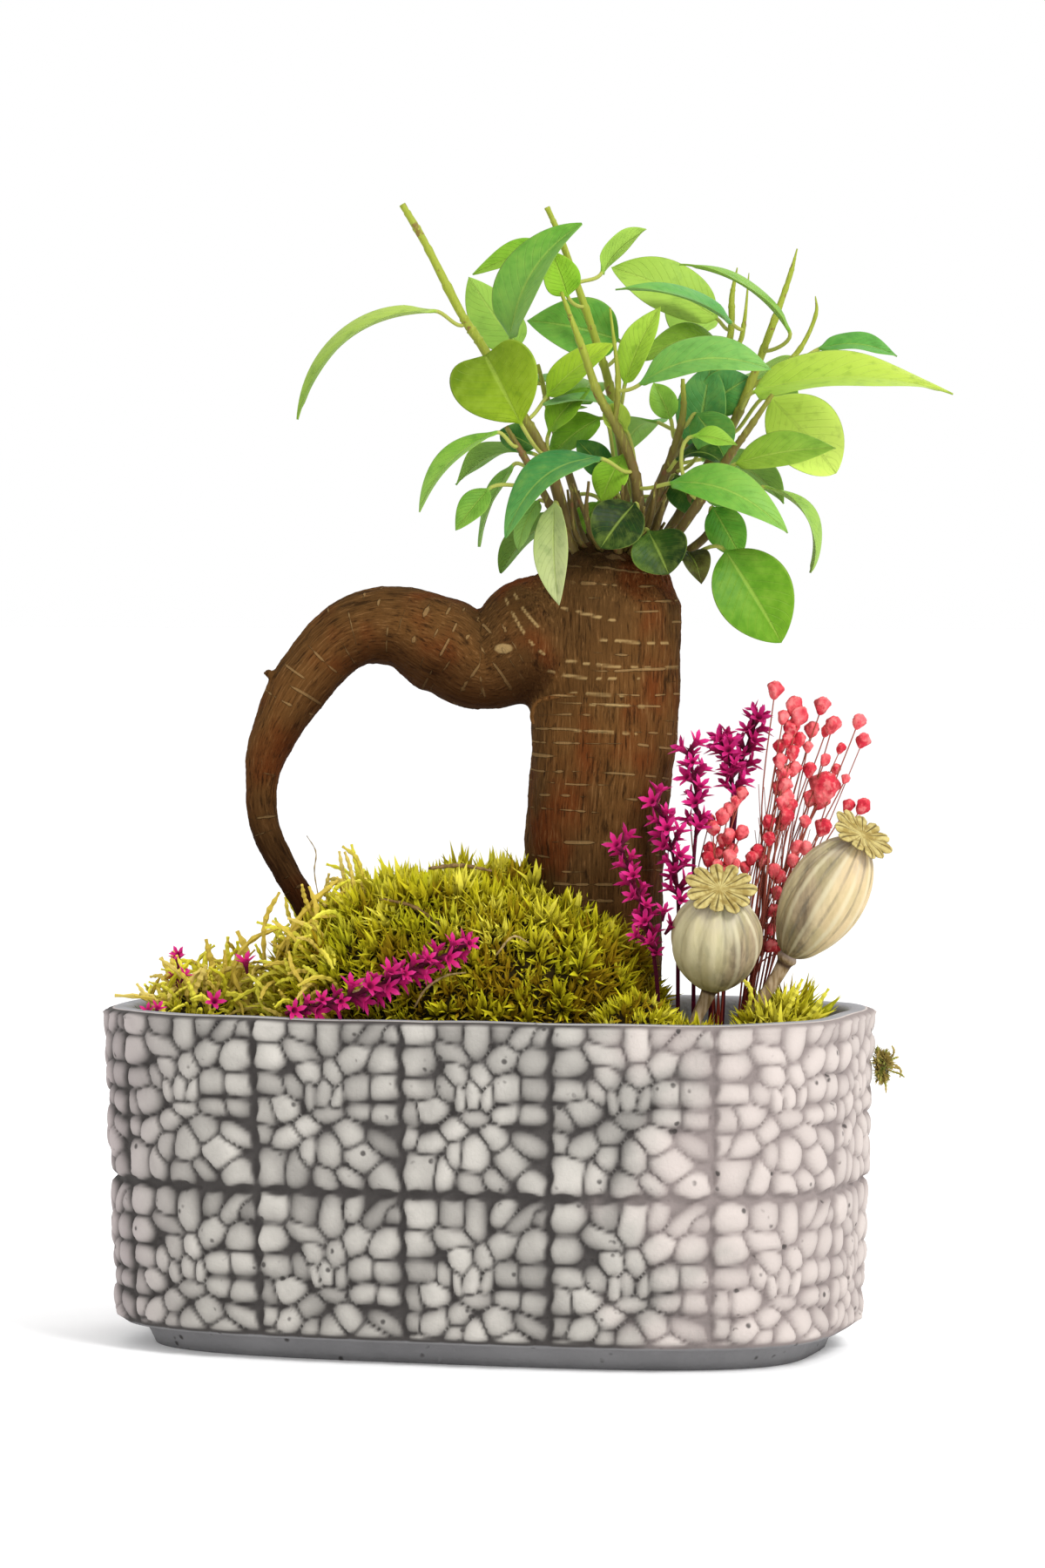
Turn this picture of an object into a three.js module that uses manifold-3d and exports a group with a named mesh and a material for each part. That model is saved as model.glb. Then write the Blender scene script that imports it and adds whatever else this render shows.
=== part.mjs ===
// Ficus bonsai with an arched aerial root in a cement planter, dressed with moss and dried flowers.
// Millimetres, +Z up. The origin is the centre of the planter's flat underside, +X runs along the planter.

import * as THREE from 'three';
import { mergeVertices } from 'three/addons/utils/BufferGeometryUtils.js';
import Module from 'manifold-3d';

const wasm = await Module();
wasm.setup();

const { Vector3 } = THREE;

// Driving dimensions

const GAP = 0.3; // between pieces that touch
const PLANTER_HALF_LENGTH = 119;
const PLANTER_HALF_DEPTH = 70;
const PLANTER_HEIGHT = 105;
const PLANTER_FOOT = 7;
const PLANTER_FLOOR = 12;
const PLANTER_SQUARENESS = 3.3; // exponent of the superellipse plan
const DRAIN_RADIUS = 6;
const DRAIN_OFFSET = 45;
const SOIL_TOP = 92;
const PLANT_TURN = THREE.MathUtils.degToRad(16); // the plant faces a little across the planter
const PLANT_SHIFT = 1.2;
const BLADE_THICKNESS = 0.8;
const PETIOLE_THICKNESS = 1.3;

// Materials

const finish = (color, roughness) => () => new THREE.MeshStandardMaterial({ color, roughness, metalness: 0 });
const cement = finish(0xc8c6c0, 0.85);
const earth = finish(0x3a2c20, 0.95);
const bark = finish(0x6b4630, 0.8);
const greenBark = finish(0x8f9a4a, 0.6);
const mossGreen = finish(0xa0a01c, 0.95);
const leafGreen = finish(0x7cb83a, 0.4);
const magenta = finish(0xc2187c, 0.8);
const coral = finish(0xd8434e, 0.8);
const dryPod = finish(0xb5b294, 0.7);

// Solids: every piece goes through manifold-3d, which also proves that it is closed

function solidOf(geometry) {
  const bare = geometry.clone();
  bare.deleteAttribute('normal');
  bare.deleteAttribute('uv');
  const merged = mergeVertices(bare, 1e-4);
  return new wasm.Manifold(new wasm.Mesh({
    numProp: 3,
    vertProperties: new Float32Array(merged.attributes.position.array),
    triVerts: new Uint32Array(merged.index.array),
  }));
}

function geometryOf(solid) {
  const mesh = solid.getMesh();
  const geometry = new THREE.BufferGeometry();
  geometry.setAttribute('position', new THREE.BufferAttribute(mesh.vertProperties, 3));
  geometry.setIndex(new THREE.BufferAttribute(mesh.triVerts, 1));
  geometry.computeVertexNormals();
  return geometry;
}

const joined = (geometries) => geometries.map(solidOf).reduce((whole, next) => whole.add(next));

function largestOf(solid) {
  return solid.decompose().reduce((best, next) => (next.volume() > best.volume() ? next : best));
}

function piece(name, geometry, material) {
  const mesh = new THREE.Mesh(geometry, material());
  mesh.name = name;
  return mesh;
}

// Swept shapes

const vectorsOf = (rows) => rows.map((row) => new Vector3(...row));

function perpendicularTo(direction, wanted) {
  return wanted.clone().addScaledVector(direction, -wanted.dot(direction)).normalize();
}

// A closed round limb through the given points, with one radius for each point.
// An extra makes it larger all over.
function limbGeometry({ route, radii, sides = 8, steps = 12 }, extra = 0) {
  const curve = new THREE.CatmullRomCurve3(vectorsOf(route), false, 'centripetal');
  const stations = [];
  let normal = new Vector3(0, -1, 0.01);
  for (let i = 0; i <= steps; i += 1) {
    const t = i / steps;
    const tangent = curve.getTangent(t);
    normal = perpendicularTo(tangent, normal);
    const side = new Vector3().crossVectors(normal, tangent);
    const overrun = i === 0 ? -extra : i === steps ? extra : 0;
    const point = curve.getPoint(t).addScaledVector(tangent, overrun);
    stations.push({ point, normal, side, radius: valueAlong(radii, t) + extra });
  }
  const geometry = new THREE.CylinderGeometry(1, 1, 1, sides, steps);
  const place = geometry.attributes.position;
  for (let i = 0; i < place.count; i += 1) {
    const { point, normal: across, side, radius } = stations[Math.round((place.getY(i) + 0.5) * steps)];
    const moved = point.clone();
    moved.addScaledVector(across, place.getX(i) * radius);
    moved.addScaledVector(side, place.getZ(i) * radius);
    place.setXYZ(i, moved.x, moved.y, moved.z);
  }
  return geometry;
}

function valueAlong(values, t) {
  const place = t * (values.length - 1);
  const low = Math.min(Math.floor(place), values.length - 2);
  return THREE.MathUtils.lerp(values[low], values[low + 1], place - low);
}

// Where a rising limb passes a height, with its radius and direction there
function limbAtHeight({ route, radii }, height) {
  const curve = new THREE.CatmullRomCurve3(vectorsOf(route), false, 'centripetal');
  let low = 0;
  let high = 1;
  for (let i = 0; i < 30; i += 1) {
    const middle = (low + high) / 2;
    if (curve.getPoint(middle).z < height) low = middle;
    else high = middle;
  }
  return { point: curve.getPoint(low), tangent: curve.getTangent(low), radius: valueAlong(radii, low) };
}

// Planter

function superellipsePoint(angle, halfLength, halfDepth) {
  const power = 2 / PLANTER_SQUARENESS;
  const x = Math.sign(Math.cos(angle)) * Math.abs(Math.cos(angle)) ** power * halfLength;
  const y = Math.sign(Math.sin(angle)) * Math.abs(Math.sin(angle)) ** power * halfDepth;
  return [x, y];
}

// Turns a profile of [inset from the rim outline, height] into a closed solid of the planter's plan
function planterLoft(profile, segments = 64) {
  const reach = 1000;
  const points = profile.map(([inset, z]) => new THREE.Vector2(inset === null ? 0 : reach - inset, z));
  const geometry = new THREE.LatheGeometry(points, segments);
  const place = geometry.attributes.position;
  for (let i = 0; i < place.count; i += 1) {
    const radius = Math.hypot(place.getX(i), place.getZ(i));
    const angle = Math.atan2(place.getX(i), place.getZ(i));
    const inset = reach - radius;
    const axis = radius < 1;
    const [x, y] = superellipsePoint(angle, PLANTER_HALF_LENGTH - inset, PLANTER_HALF_DEPTH - inset);
    const z = place.getY(i);
    place.setXYZ(i, axis ? 0 : x, axis ? 0 : y, z);
  }
  return geometry;
}

function drainHole(x) {
  const hole = new THREE.CylinderGeometry(DRAIN_RADIUS, DRAIN_RADIUS, 4 * PLANTER_FLOOR, 20);
  hole.rotateX(Math.PI / 2);
  hole.translate(x, 0, 0);
  return solidOf(hole);
}

function planter() {
  const body = planterLoft([
    [null, 0],
    [15, 0],
    [12, PLANTER_FOOT],
    [6.5, PLANTER_FOOT],
    [5, PLANTER_FOOT + 1.5],
    [1.5, PLANTER_HEIGHT - 4],
    [1.5, PLANTER_HEIGHT - 1.5],
    [3, PLANTER_HEIGHT],
    [7.5, PLANTER_HEIGHT],
    [9, PLANTER_HEIGHT - 1.5],
    [12, PLANTER_FLOOR + 6],
    [18, PLANTER_FLOOR],
    [null, PLANTER_FLOOR],
  ]);
  return solidOf(body).subtract(drainHole(DRAIN_OFFSET)).subtract(drainHole(-DRAIN_OFFSET));
}

function soilBlock() {
  const slope = 3 / (PLANTER_HEIGHT - 1.5 - PLANTER_FLOOR - 6);
  const topInset = 9 + slope * (PLANTER_HEIGHT - 1.5 - SOIL_TOP) + 0.4;
  return planterLoft([
    [null, PLANTER_FLOOR + GAP],
    [18.5, PLANTER_FLOOR + GAP],
    [12.5, PLANTER_FLOOR + 6 + GAP],
    [topInset, SOIL_TOP],
    [null, SOIL_TOP],
  ]);
}

// Trunk and arched aerial root, grown as one piece

const TRUNK = {
  route: [[33, 1, 52], [32, 1, 92], [31.8, 0, 143], [31.7, 0, 160], [34, 0, 187], [35, 0, 215],
    [35.5, 0, 232], [37, 0, 243], [38, 0, 248]],
  radii: [10, 20, 21.3, 21.8, 22.7, 22.6, 21.6, 17, 8],
  sides: 22,
  steps: 18,
};

const ARCH = {
  route: [[33, 0, 222], [12.7, -1, 217.5], [-4.2, -2, 212.5], [-15, -2, 216.5], [-29.7, -1, 223.2],
    [-40, 0, 222.6], [-48.6, 1, 218.3], [-59, 2, 206.9], [-65.2, 2, 196.6], [-70.3, 2, 184.9],
    [-72.2, 1, 174.6], [-72.2, 0, 166.5], [-69.5, -1, 156.4], [-64.6, -2, 147.5], [-59, -3, 138],
    [-52, -4, 120], [-46, -4, 98], [-43, -4, 74]],
  radii: [16, 18, 13.9, 15.2, 13, 11.6, 9.8, 9.4, 8.5, 6.8, 5.1, 4.7, 4.3, 4, 3.9, 3.8, 3.4, 2.2],
  sides: 14,
  steps: 34,
};

const DEAD_STUB = { route: [[-64, 1, 204], [-71, 0, 209.5]], radii: [1.8, 1.2], sides: 6, steps: 2 };

// Woody shoots on the trunk's top: a main stem each, some with a side twig

const SHOOTS = {
  tall_left: {
    stem: {
      route: [[27, -4, 238], [17, -8, 274], [9, -9, 289], [-4, -11, 311], [-9, -12, 318.5],
        [-21.5, -12, 342.6], [-28, -12, 353.5]],
      radii: [1.9, 1.7, 1.6, 1.5, 1.4, 1.2, 1],
    },
  },
  tall_middle: {
    stem: {
      route: [[40, 5, 243], [41, 7, 270], [36, 6, 299], [32.4, 5, 311], [28.6, 4, 322.5], [20.5, 2, 345],
        [16.7, 1, 353.5]],
      radii: [1.7, 1.6, 1.4, 1.3, 1.2, 1, 0.8],
    },
  },
  front: {
    stem: {
      route: [[45, -5, 243], [44, -14, 269], [39, -16, 283], [32.4, -17, 295], [28, -17, 307.6],
        [21, -17, 326.3]],
      radii: [1.7, 1.6, 1.4, 1.3, 1.2, 0.7],
    },
    twig: { route: [[37.6, -16.3, 286], [38.5, -18.5, 298], [36, -19, 321.4]], radii: [0.9, 0.8, 0.4] },
  },
  tall_right: {
    stem: {
      route: [[47, 1, 238], [66, 2, 272], [75.6, 2, 288.3], [84.8, 2, 311.4], [92.4, 2, 332.8],
        [94.5, 2, 340.7]],
      radii: [1.9, 1.7, 1.5, 1.2, 0.8, 0.4],
    },
    twig: {
      route: [[79, 2, 297], [90, 6, 304], [96.2, 8, 310.6], [100.8, 8, 321.4], [100.5, 8, 326.3]],
      radii: [0.9, 0.9, 0.8, 0.6, 0.3],
    },
  },
  back_right: {
    stem: {
      route: [[45, 7, 240], [57, 14, 272], [68, 16, 297], [74.2, 16, 314], [74.8, 16, 327],
        [76.4, 16, 335.6]],
      radii: [1.6, 1.5, 1.3, 1.1, 0.8, 0.4],
    },
    twig: {
      route: [[72, 16, 307], [77, 13, 312], [78.4, 12, 318], [79.9, 12, 333.7]],
      radii: [0.8, 0.8, 0.7, 0.3],
    },
  },
  right: {
    stem: {
      route: [[48, -6, 239], [63, -15, 261], [72.6, -17, 275.6], [78, -18, 283.2], [86, -19, 294.8]],
      radii: [1.6, 1.5, 1.3, 1.1, 0.8],
    },
  },
  centre: {
    stem: {
      route: [[42, 1, 243], [53, -4, 270], [58.7, -8, 288.6], [58.7, -8, 300]],
      radii: [1.5, 1.3, 1.1, 0.6],
    },
  },
  low_left: {
    stem: {
      route: [[29, -8, 240], [18, -16, 260], [10, -18, 275], [4, -18, 285]],
      radii: [1.5, 1.3, 1.1, 0.7],
    },
  },
  low_right: {
    stem: {
      route: [[47, -1, 238], [64, -8, 249.5], [72, -8, 258], [80, -5, 264.5]],
      radii: [1.5, 1.3, 1.1, 0.7],
    },
  },
  back_left: {
    stem: {
      route: [[33, 8, 241], [24, 22, 270], [18, 31, 290], [14, 35, 306]],
      radii: [1.5, 1.4, 1.2, 0.6],
    },
  },
  back: {
    stem: {
      route: [[40, 10, 240], [54, 26, 272], [66, 34, 294], [72, 37, 310]],
      radii: [1.5, 1.4, 1.2, 0.6],
    },
  },
};

// A shoot starts inside the trunk's outline and is cut back to its surface
function shootSolid({ stem, twig }) {
  const limbs = [limbGeometry({ sides: 8, steps: 9, ...stem })];
  if (twig) limbs.push(limbGeometry({ sides: 6, steps: 6, ...twig }));
  return largestOf(joined(limbs).subtract(solidOf(limbGeometry(TRUNK, GAP))));
}

// Leaves: each one parts from a shoot or its twig at a height, and its blade runs from a base to a tip.
// The face is the way its upper side looks, bow lifts its middle towards the face, and fold (degrees)
// raises its edges.

function leaf(on, height, base, tip, width, bow, face, fold) {
  return { on, height, base, tip, width, bow, face, fold };
}

const LEAVES = [
  leaf('tall_left', 317, [-18, -14, 320.6], [-60, -20, 287], 18, 10.5, [-0.4, -0.3, 0.9], 12),
  leaf('tall_left', 306, [5.5, -12, 312.5], [29, -12, 347], 21, 6.5, [-0.75, -0.65, 0.3], 18),
  leaf('tall_middle', 342, [16, 6, 341.5], [-6.5, 8, 333], 10, 1, [0.1, -0.8, 0.6], 20),
  leaf('tall_left', 277, [8.5, -20, 286], [-4.5, -25, 310.5], 30, 1, [-0.2, -1, 0.1], 22),
  leaf('tall_middle', 323, [23, -2, 326], [18, -6, 339.5], 12, 1, [0, -1, 0.3], 12),
  leaf('tall_middle', 304, [39, 16, 313], [10.5, 17, 319], 21, 3, [0, -1, 0.35], 14),
  leaf('tall_left', 287, [17, -3, 295], [37.5, -4, 311], 13, 2, [-0.4, -0.8, 0.5], 12),
  leaf('tall_middle', 290, [41, -2, 299], [52, -3, 322.5], 12, 2, [-0.5, -0.85, 0.3], 15),
  leaf('back_right', 316, [70, 21, 320], [37, 22, 336], 20, 3, [0, -0.85, 0.5], 12),
  leaf('back_right twig', 316, [74, 7, 318], [38, 3, 328], 14, 4, [0, -0.4, 0.92], 15),
  leaf('back_right', 300, [71.5, 7, 310.5], [47, 2, 306], 14, 5, [0, -0.6, 0.8], 12),
  leaf('front twig', 296, [45.5, -23, 298], [85, -30, 302], 19, 7, [0, -0.65, 0.76], 12),
  leaf('tall_right', 291, [81, -8, 296], [142, -12, 295], 25, 6, [0, -0.55, 0.83], 14),
  leaf('tall_right twig', 308, [102, 9, 310], [126, 8, 307.5], 11, 3, [0, -0.5, 0.86], 12),
  leaf('tall_right', 309, [91.5, -8, 315], [57.5, -13, 335], 13, 5, [0.55, -0.3, 0.8], 12),
  leaf('tall_right', 284, [87, 10, 294.5], [107, 8, 271], 25, 2, [0.15, -1, 0.2], 10),
  leaf('right', 272, [75, -24, 273.5], [105, -28, 278], 15, 2, [0, -0.75, 0.66], 12),
  leaf('front', 266, [55, -23, 267.5], [90, -34, 252], 17, 7, [0.15, -0.75, 0.66], 12),
  leaf('low_right', 261, [84.5, -9, 266.5], [98, -10, 240], 13, 7.5, [0.85, -0.25, 0.5], 14),
  leaf('low_right', 254, [68, -11, 260], [76.5, -12, 245], 13, 1, [0, -1, 0.15], 10),
  leaf('low_right', 246.5, [71.5, -24, 246.5], [88.5, -26, 218.5], 25, 2, [0.1, -1, 0.15], 12),
  leaf('front', 257, [43.5, -21, 261], [33, -28, 247.5], 17, 2, [-0.1, -1, 0.3], 8),
  leaf('front', 252.5, [48, -20, 252.5], [54, -25, 239.5], 19, 1, [0, -1, 0.35], 20),
  leaf('low_left', 256, [19, -24, 261], [20.3, -28, 230], 12, 2, [-0.5, -0.85, 0.1], 18),
  leaf('front', 271.5, [32.5, -25, 275], [4, -35, 250.5], 17, 8.5, [-0.35, -0.6, 0.72], 12),
  leaf('low_left', 279, [1, -22, 283], [-22.5, -28, 258.5], 13, 4.5, [-0.55, -0.45, 0.7], 14),
  leaf('low_left', 268, [-1.5, -20, 265.5], [-11.5, -22, 253], 9, 1, [-0.3, -1, 0.2], 12),
  leaf('low_left', 273, [6, -11, 273], [-4.4, -9, 248], 9, 2, [-0.85, -0.45, 0.2], 14),
  leaf('back_left', 294, [15, 42, 301], [2, 66, 291], 19, 6, [-0.2, 0.5, 0.85], 12),
  leaf('back', 296, [77, 44, 302], [96, 62, 289], 19, 6, [0.3, 0.4, 0.85], 12),
];

const PETIOLE_STEPS = 3;
const BLADE_STEPS = 8;

// Half width of a blade along its midrib: widest at two fifths, with a drip tip
function bladeHalfWidth(t, width) {
  const shape = (t ** 0.6 * (1 - t) ** 0.9) / (0.4 ** 0.6 * 0.6 ** 0.9);
  return Math.max(0.6, (shape * width) / 2);
}

function leafCurves(row) {
  const [shoot, twig] = row.on.split(' ');
  const seat = limbAtHeight(twig ? SHOOTS[shoot].twig : SHOOTS[shoot].stem, row.height);
  const base = new Vector3(...row.base);
  const tip = new Vector3(...row.tip);
  const face = new Vector3(...row.face).normalize();
  const lift = perpendicularTo(tip.clone().sub(base).normalize(), face);
  const control = base.clone().lerp(tip, 0.5).addScaledVector(lift, 2 * row.bow);
  const blade = new THREE.QuadraticBezierCurve3(base, control, tip);
  const outward = perpendicularTo(seat.tangent, base.clone().sub(seat.point));
  const start = seat.point.clone().addScaledVector(outward, seat.radius + GAP);
  const reach = start.distanceTo(base) / 3;
  const knee = start.clone().addScaledVector(outward, reach);
  const heel = base.clone().addScaledVector(blade.getTangent(0), -reach);
  return { petiole: new THREE.CubicBezierCurve3(start, knee, heel, base), blade, face };
}

function leafStations(row) {
  const { petiole, blade, face } = leafCurves(row);
  const stations = [];
  for (let i = 0; i < PETIOLE_STEPS; i += 1) {
    const t = i / PETIOLE_STEPS;
    const [half, thick] = [PETIOLE_THICKNESS / 2, PETIOLE_THICKNESS];
    stations.push({ point: petiole.getPoint(t), tangent: petiole.getTangent(t), half, thick });
  }
  for (let i = 0; i <= BLADE_STEPS; i += 1) {
    const t = (1 - Math.cos((Math.PI * i) / BLADE_STEPS)) / 2;
    const half = bladeHalfWidth(t, row.width);
    stations.push({ point: blade.getPoint(t), tangent: blade.getTangent(t), half, thick: BLADE_THICKNESS });
  }
  let normal = face;
  for (let i = stations.length - 1; i >= 0; i -= 1) {
    normal = perpendicularTo(stations[i].tangent, i >= PETIOLE_STEPS ? face : normal);
    stations[i].normal = normal;
    stations[i].side = new Vector3().crossVectors(normal, stations[i].tangent);
  }
  return stations;
}

function leafGeometry(row) {
  const stations = leafStations(row);
  const steps = stations.length - 1;
  const fold = THREE.MathUtils.degToRad(row.fold);
  const geometry = new THREE.BoxGeometry(1, 2, 1, steps, 4, 1);
  const place = geometry.attributes.position;
  for (let i = 0; i < place.count; i += 1) {
    const station = stations[Math.round((place.getX(i) + 0.5) * steps)];
    const across = place.getY(i) * station.half;
    const raise = Math.abs(across) * Math.sin(fold) + place.getZ(i) * station.thick;
    const moved = station.point.clone();
    moved.addScaledVector(station.side, across * Math.cos(fold));
    moved.addScaledVector(station.normal, raise);
    place.setXYZ(i, moved.x, moved.y, moved.z);
  }
  return geometry;
}

// Dry poppy heads: ribbed pod, crown of rays and stalk, grown as one piece

const POPPIES = {
  poppy_left: {
    bottom: [67.5, -30, 113],
    axis: [0.05, -0.42, 0.9],
    radius: 13.8,
    length: 33,
    crown: 9.8,
    stalk: [[60, -33, SOIL_TOP + GAP], [62, -32, 102], [65, -31, 109]],
  },
  poppy_right: {
    bottom: [91, -22, 122.5],
    axis: [0.5, -0.2, 0.84],
    radius: 12.4,
    length: 43,
    crown: 9.2,
    stalk: [[77, -23, SOIL_TOP + GAP], [81, -23, 105], [87.5, -22, 116]],
  },
};
const CROWN_RAYS = 11;
const POD_RIBS = 11;

function podGeometry({ radius, length }, extra) {
  const profile = [[0, 0], [0.22, 0.01], [0.55, 0.09], [0.84, 0.24], [1, 0.46], [0.95, 0.66], [0.74, 0.84],
    [0.44, 0.94], [0.3, 0.99], [0, 1]];
  const points = profile.map(([r, z]) => new THREE.Vector2(r * (radius + extra), z * (length + extra)));
  const pod = new THREE.LatheGeometry(points, 3 * POD_RIBS);
  const place = pod.attributes.position;
  for (let i = 0; i < place.count; i += 1) {
    const angle = Math.atan2(place.getX(i), place.getZ(i));
    const rib = 1 - 0.03 * (1 - Math.cos(POD_RIBS * angle));
    place.setX(i, place.getX(i) * rib);
    place.setZ(i, place.getZ(i) * rib);
  }
  return pod;
}

function crownGeometry({ crown, length }) {
  const outline = new THREE.Shape();
  for (let i = 0; i < 4 * CROWN_RAYS; i += 1) {
    const angle = (2 * Math.PI * i) / (4 * CROWN_RAYS);
    const reach = i % 4 === 0 ? 0.55 * crown : i % 2 === 0 ? crown : 0.96 * crown;
    outline[i === 0 ? 'moveTo' : 'lineTo'](reach * Math.cos(angle), reach * Math.sin(angle));
  }
  const star = new THREE.ExtrudeGeometry(outline, { depth: 1.8, bevelEnabled: false });
  star.rotateX(-Math.PI / 2);
  star.translate(0, length - 0.6, 0);
  return star;
}

function poppySolid(poppy, extra = 0) {
  const head = [podGeometry(poppy, extra), crownGeometry(poppy)];
  const axis = new Vector3(...poppy.axis).normalize();
  const turn = new THREE.Quaternion().setFromUnitVectors(new Vector3(0, 1, 0), axis);
  for (const part of head) {
    part.applyQuaternion(turn);
    part.translate(...poppy.bottom);
  }
  const inside = axis.clone().multiplyScalar(3).add(new Vector3(...poppy.bottom));
  const route = [...poppy.stalk, inside.toArray()];
  return joined([...head, limbGeometry({ route, radii: [1.7, 1.7, 2, 2.4], sides: 8, steps: 8 }, extra)]);
}

// Dyed sprigs with star flowers: a stem with flowers in a spiral along its upper part

const SPRIGS = {
  sprig_front: {
    route: [[-63, -45, 106], [-42, -50, 112], [-26, -51, 119], [-8, -50, 127]],
    flowers: 12,
    from: 0.05,
  },
  sprig_left: {
    route: [[-93, 10, SOIL_TOP + GAP], [-99, 4, 108], [-98, 2, 120]],
    flowers: 4,
    from: 0.5,
  },
  sprig_right_1: {
    route: [[50, -30, SOIL_TOP + GAP], [49, -30, 118], [45, -30, 137], [38, -30, 161]],
    flowers: 8,
    from: 0.5,
  },
  sprig_right_2: {
    route: [[57, -22, SOIL_TOP + GAP], [57, -21, 122], [57, -21, 142], [54, -22, 158], [47, -24, 174]],
    flowers: 9,
    from: 0.48,
  },
  sprig_right_3: {
    route: [[62, -15, SOIL_TOP + GAP], [62, -15, 125], [62, -15, 150], [62, -16, 170], [57, -18, 190]],
    flowers: 8,
    from: 0.66,
  },
  sprig_right_4: {
    route: [[67, -8, SOIL_TOP + GAP], [69, -8, 130], [74, -7, 163], [74, -7, 178], [70, -7, 191]],
    flowers: 8,
    from: 0.66,
  },
  sprig_right_5: {
    route: [[71, 0, SOIL_TOP + GAP], [73, 2, 130], [78, 5, 168], [82, 5, 184], [88.5, 3, 200]],
    flowers: 8,
    from: 0.6,
  },
};
const GOLDEN_ANGLE = Math.PI * (3 - Math.sqrt(5));
const STAR_LENGTH = 6;
const STAR_RADIUS = 3;

function starGeometry(foot, direction, extra) {
  const star = new THREE.ConeGeometry(STAR_RADIUS + extra, STAR_LENGTH + 3 * extra, 5);
  star.rotateX(Math.PI);
  star.translate(0, STAR_LENGTH / 2 - 0.6 - extra / 2, 0);
  star.applyQuaternion(new THREE.Quaternion().setFromUnitVectors(new Vector3(0, 1, 0), direction));
  star.translate(foot.x, foot.y, foot.z);
  return star;
}

function sprigSolid({ route, flowers, from }, extra = 0) {
  const curve = new THREE.CatmullRomCurve3(vectorsOf(route), false, 'centripetal');
  const parts = [limbGeometry({ route, radii: [0.9, 0.9, 0.8, 0.6], sides: 5, steps: 8 }, extra)];
  for (let i = 0; i < flowers; i += 1) {
    const t = THREE.MathUtils.lerp(from, 0.99, i / (flowers - 1));
    const tangent = curve.getTangent(t);
    const across = perpendicularTo(tangent, new Vector3(0.3, -1, 0.2));
    across.applyAxisAngle(tangent, i * GOLDEN_ANGLE);
    parts.push(starGeometry(curve.getPoint(t), across.addScaledVector(tangent, 0.9).normalize(), extra));
  }
  return joined(parts);
}

// Dyed sprays with round heads on hair-thin stems that part from one foot

const SPRAYS = {
  spray_left: {
    foot: [69, -14, SOIL_TOP + GAP],
    neck: [69, -14, 128],
    heads: [[72, -14, 150], [67, -12, 152], [76, -14, 147], [70, -16, 160], [75, -12, 163], [66, -14, 164],
      [73, -15, 170], [79, -13, 172], [69, -12, 173], [78, -14, 158]],
  },
  spray_middle: {
    foot: [76, -12, SOIL_TOP + GAP],
    neck: [80, -10, 125],
    heads: [[87.5, -6, 204.7], [94, -8, 198], [91, -6, 188], [89, -9, 180], [93, -6, 174], [90, -9, 167],
      [93, -7, 161], [86, -9, 163], [88, -6, 153], [83, -11, 147], [98.5, -7, 179], [97, -7, 191]],
  },
  spray_right: {
    foot: [80, -4, SOIL_TOP + GAP],
    neck: [86, -2, 125],
    heads: [[102.5, 0, 199], [101, 3, 191], [106, 0, 193], [114, 2, 194], [115.5, 4, 188], [108, 3, 185.5],
      [104, 1, 181], [103.5, -1, 171.5], [106, 2, 169], [103, 3, 160], [111, 4, 168], [116, 4, 168]],
  },
};
const HEAD_RADIUS = 2.2;

function sprayStem({ foot, neck }, extra = 0) {
  return limbGeometry({ route: [foot, neck], radii: [0.9, 0.9], sides: 6, steps: 1 }, extra);
}

function spraySolid(spray) {
  const parts = [sprayStem(spray)];
  for (const head of spray.heads) {
    const start = new Vector3(...spray.neck).add(new Vector3(0, 0, -1.5));
    const bend = start.clone().lerp(new Vector3(...head), 0.5).add(new Vector3(-1.5, 0, 0));
    const route = [start.toArray(), bend.toArray(), head];
    parts.push(limbGeometry({ route, radii: [0.45, 0.4, 0.4], sides: 3, steps: 3 }));
    parts.push(new THREE.IcosahedronGeometry(HEAD_RADIUS, 0).translate(...head));
  }
  return joined(parts);
}

// Moss: lumpy cushions with flat undersides on the soil

function mossDome({ centre, halfLength, halfDepth, height, lump, segments = 30 }) {
  const dome = new THREE.SphereGeometry(1, segments, segments / 2);
  dome.rotateX(Math.PI / 2);
  const place = dome.attributes.position;
  const floor = SOIL_TOP + GAP;
  for (let i = 0; i < place.count; i += 1) {
    const [x, y, z] = [place.getX(i), place.getY(i), place.getZ(i)];
    const [planX, planY] = [x * Math.sqrt(1 + y * y * 0.25), y * Math.sqrt(1 + x * x * 0.25)];
    const ripple = 1 + lump * Math.sin(5 * x + 2 * y) * Math.cos(6 * y - 3 * x) * Math.max(z, 0);
    const top = floor + height * Math.max(z, 0) ** 0.6 * ripple;
    place.setXYZ(i, centre[0] + planX * halfLength, centre[1] + planY * halfDepth, z > 0.01 ? top : floor);
  }
  return dome;
}

const MOSS = {
  moss_cushion: { centre: [-6, -5], halfLength: 63, halfDepth: 49, height: 55, lump: 0.06 },
  moss_left: { centre: [-89, -6], halfLength: 17, halfDepth: 38, height: 22, lump: 0.12, segments: 24 },
  moss_right: { centre: [92, 8], halfLength: 12, halfDepth: 30, height: 16, lump: 0.1, segments: 24 },
};

const CRUMB = { centre: [119.25, 25, 87], size: [3.4, 3.8, 7] };

function crumbGeometry() {
  const crumb = new THREE.IcosahedronGeometry(1, 1);
  crumb.scale(...CRUMB.size);
  crumb.translate(...CRUMB.centre);
  return crumb;
}

// Assembly: the plant and its flowers stand in one turned group, the planter and its filling do not

const group = new THREE.Group();
const plant = new THREE.Group();
plant.rotation.z = PLANT_TURN;
plant.position.x = PLANT_SHIFT;
group.add(plant);

function inPlanter(geometry) {
  return solidOf(geometry.clone().rotateZ(PLANT_TURN).translate(PLANT_SHIFT, 0, 0));
}

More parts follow.
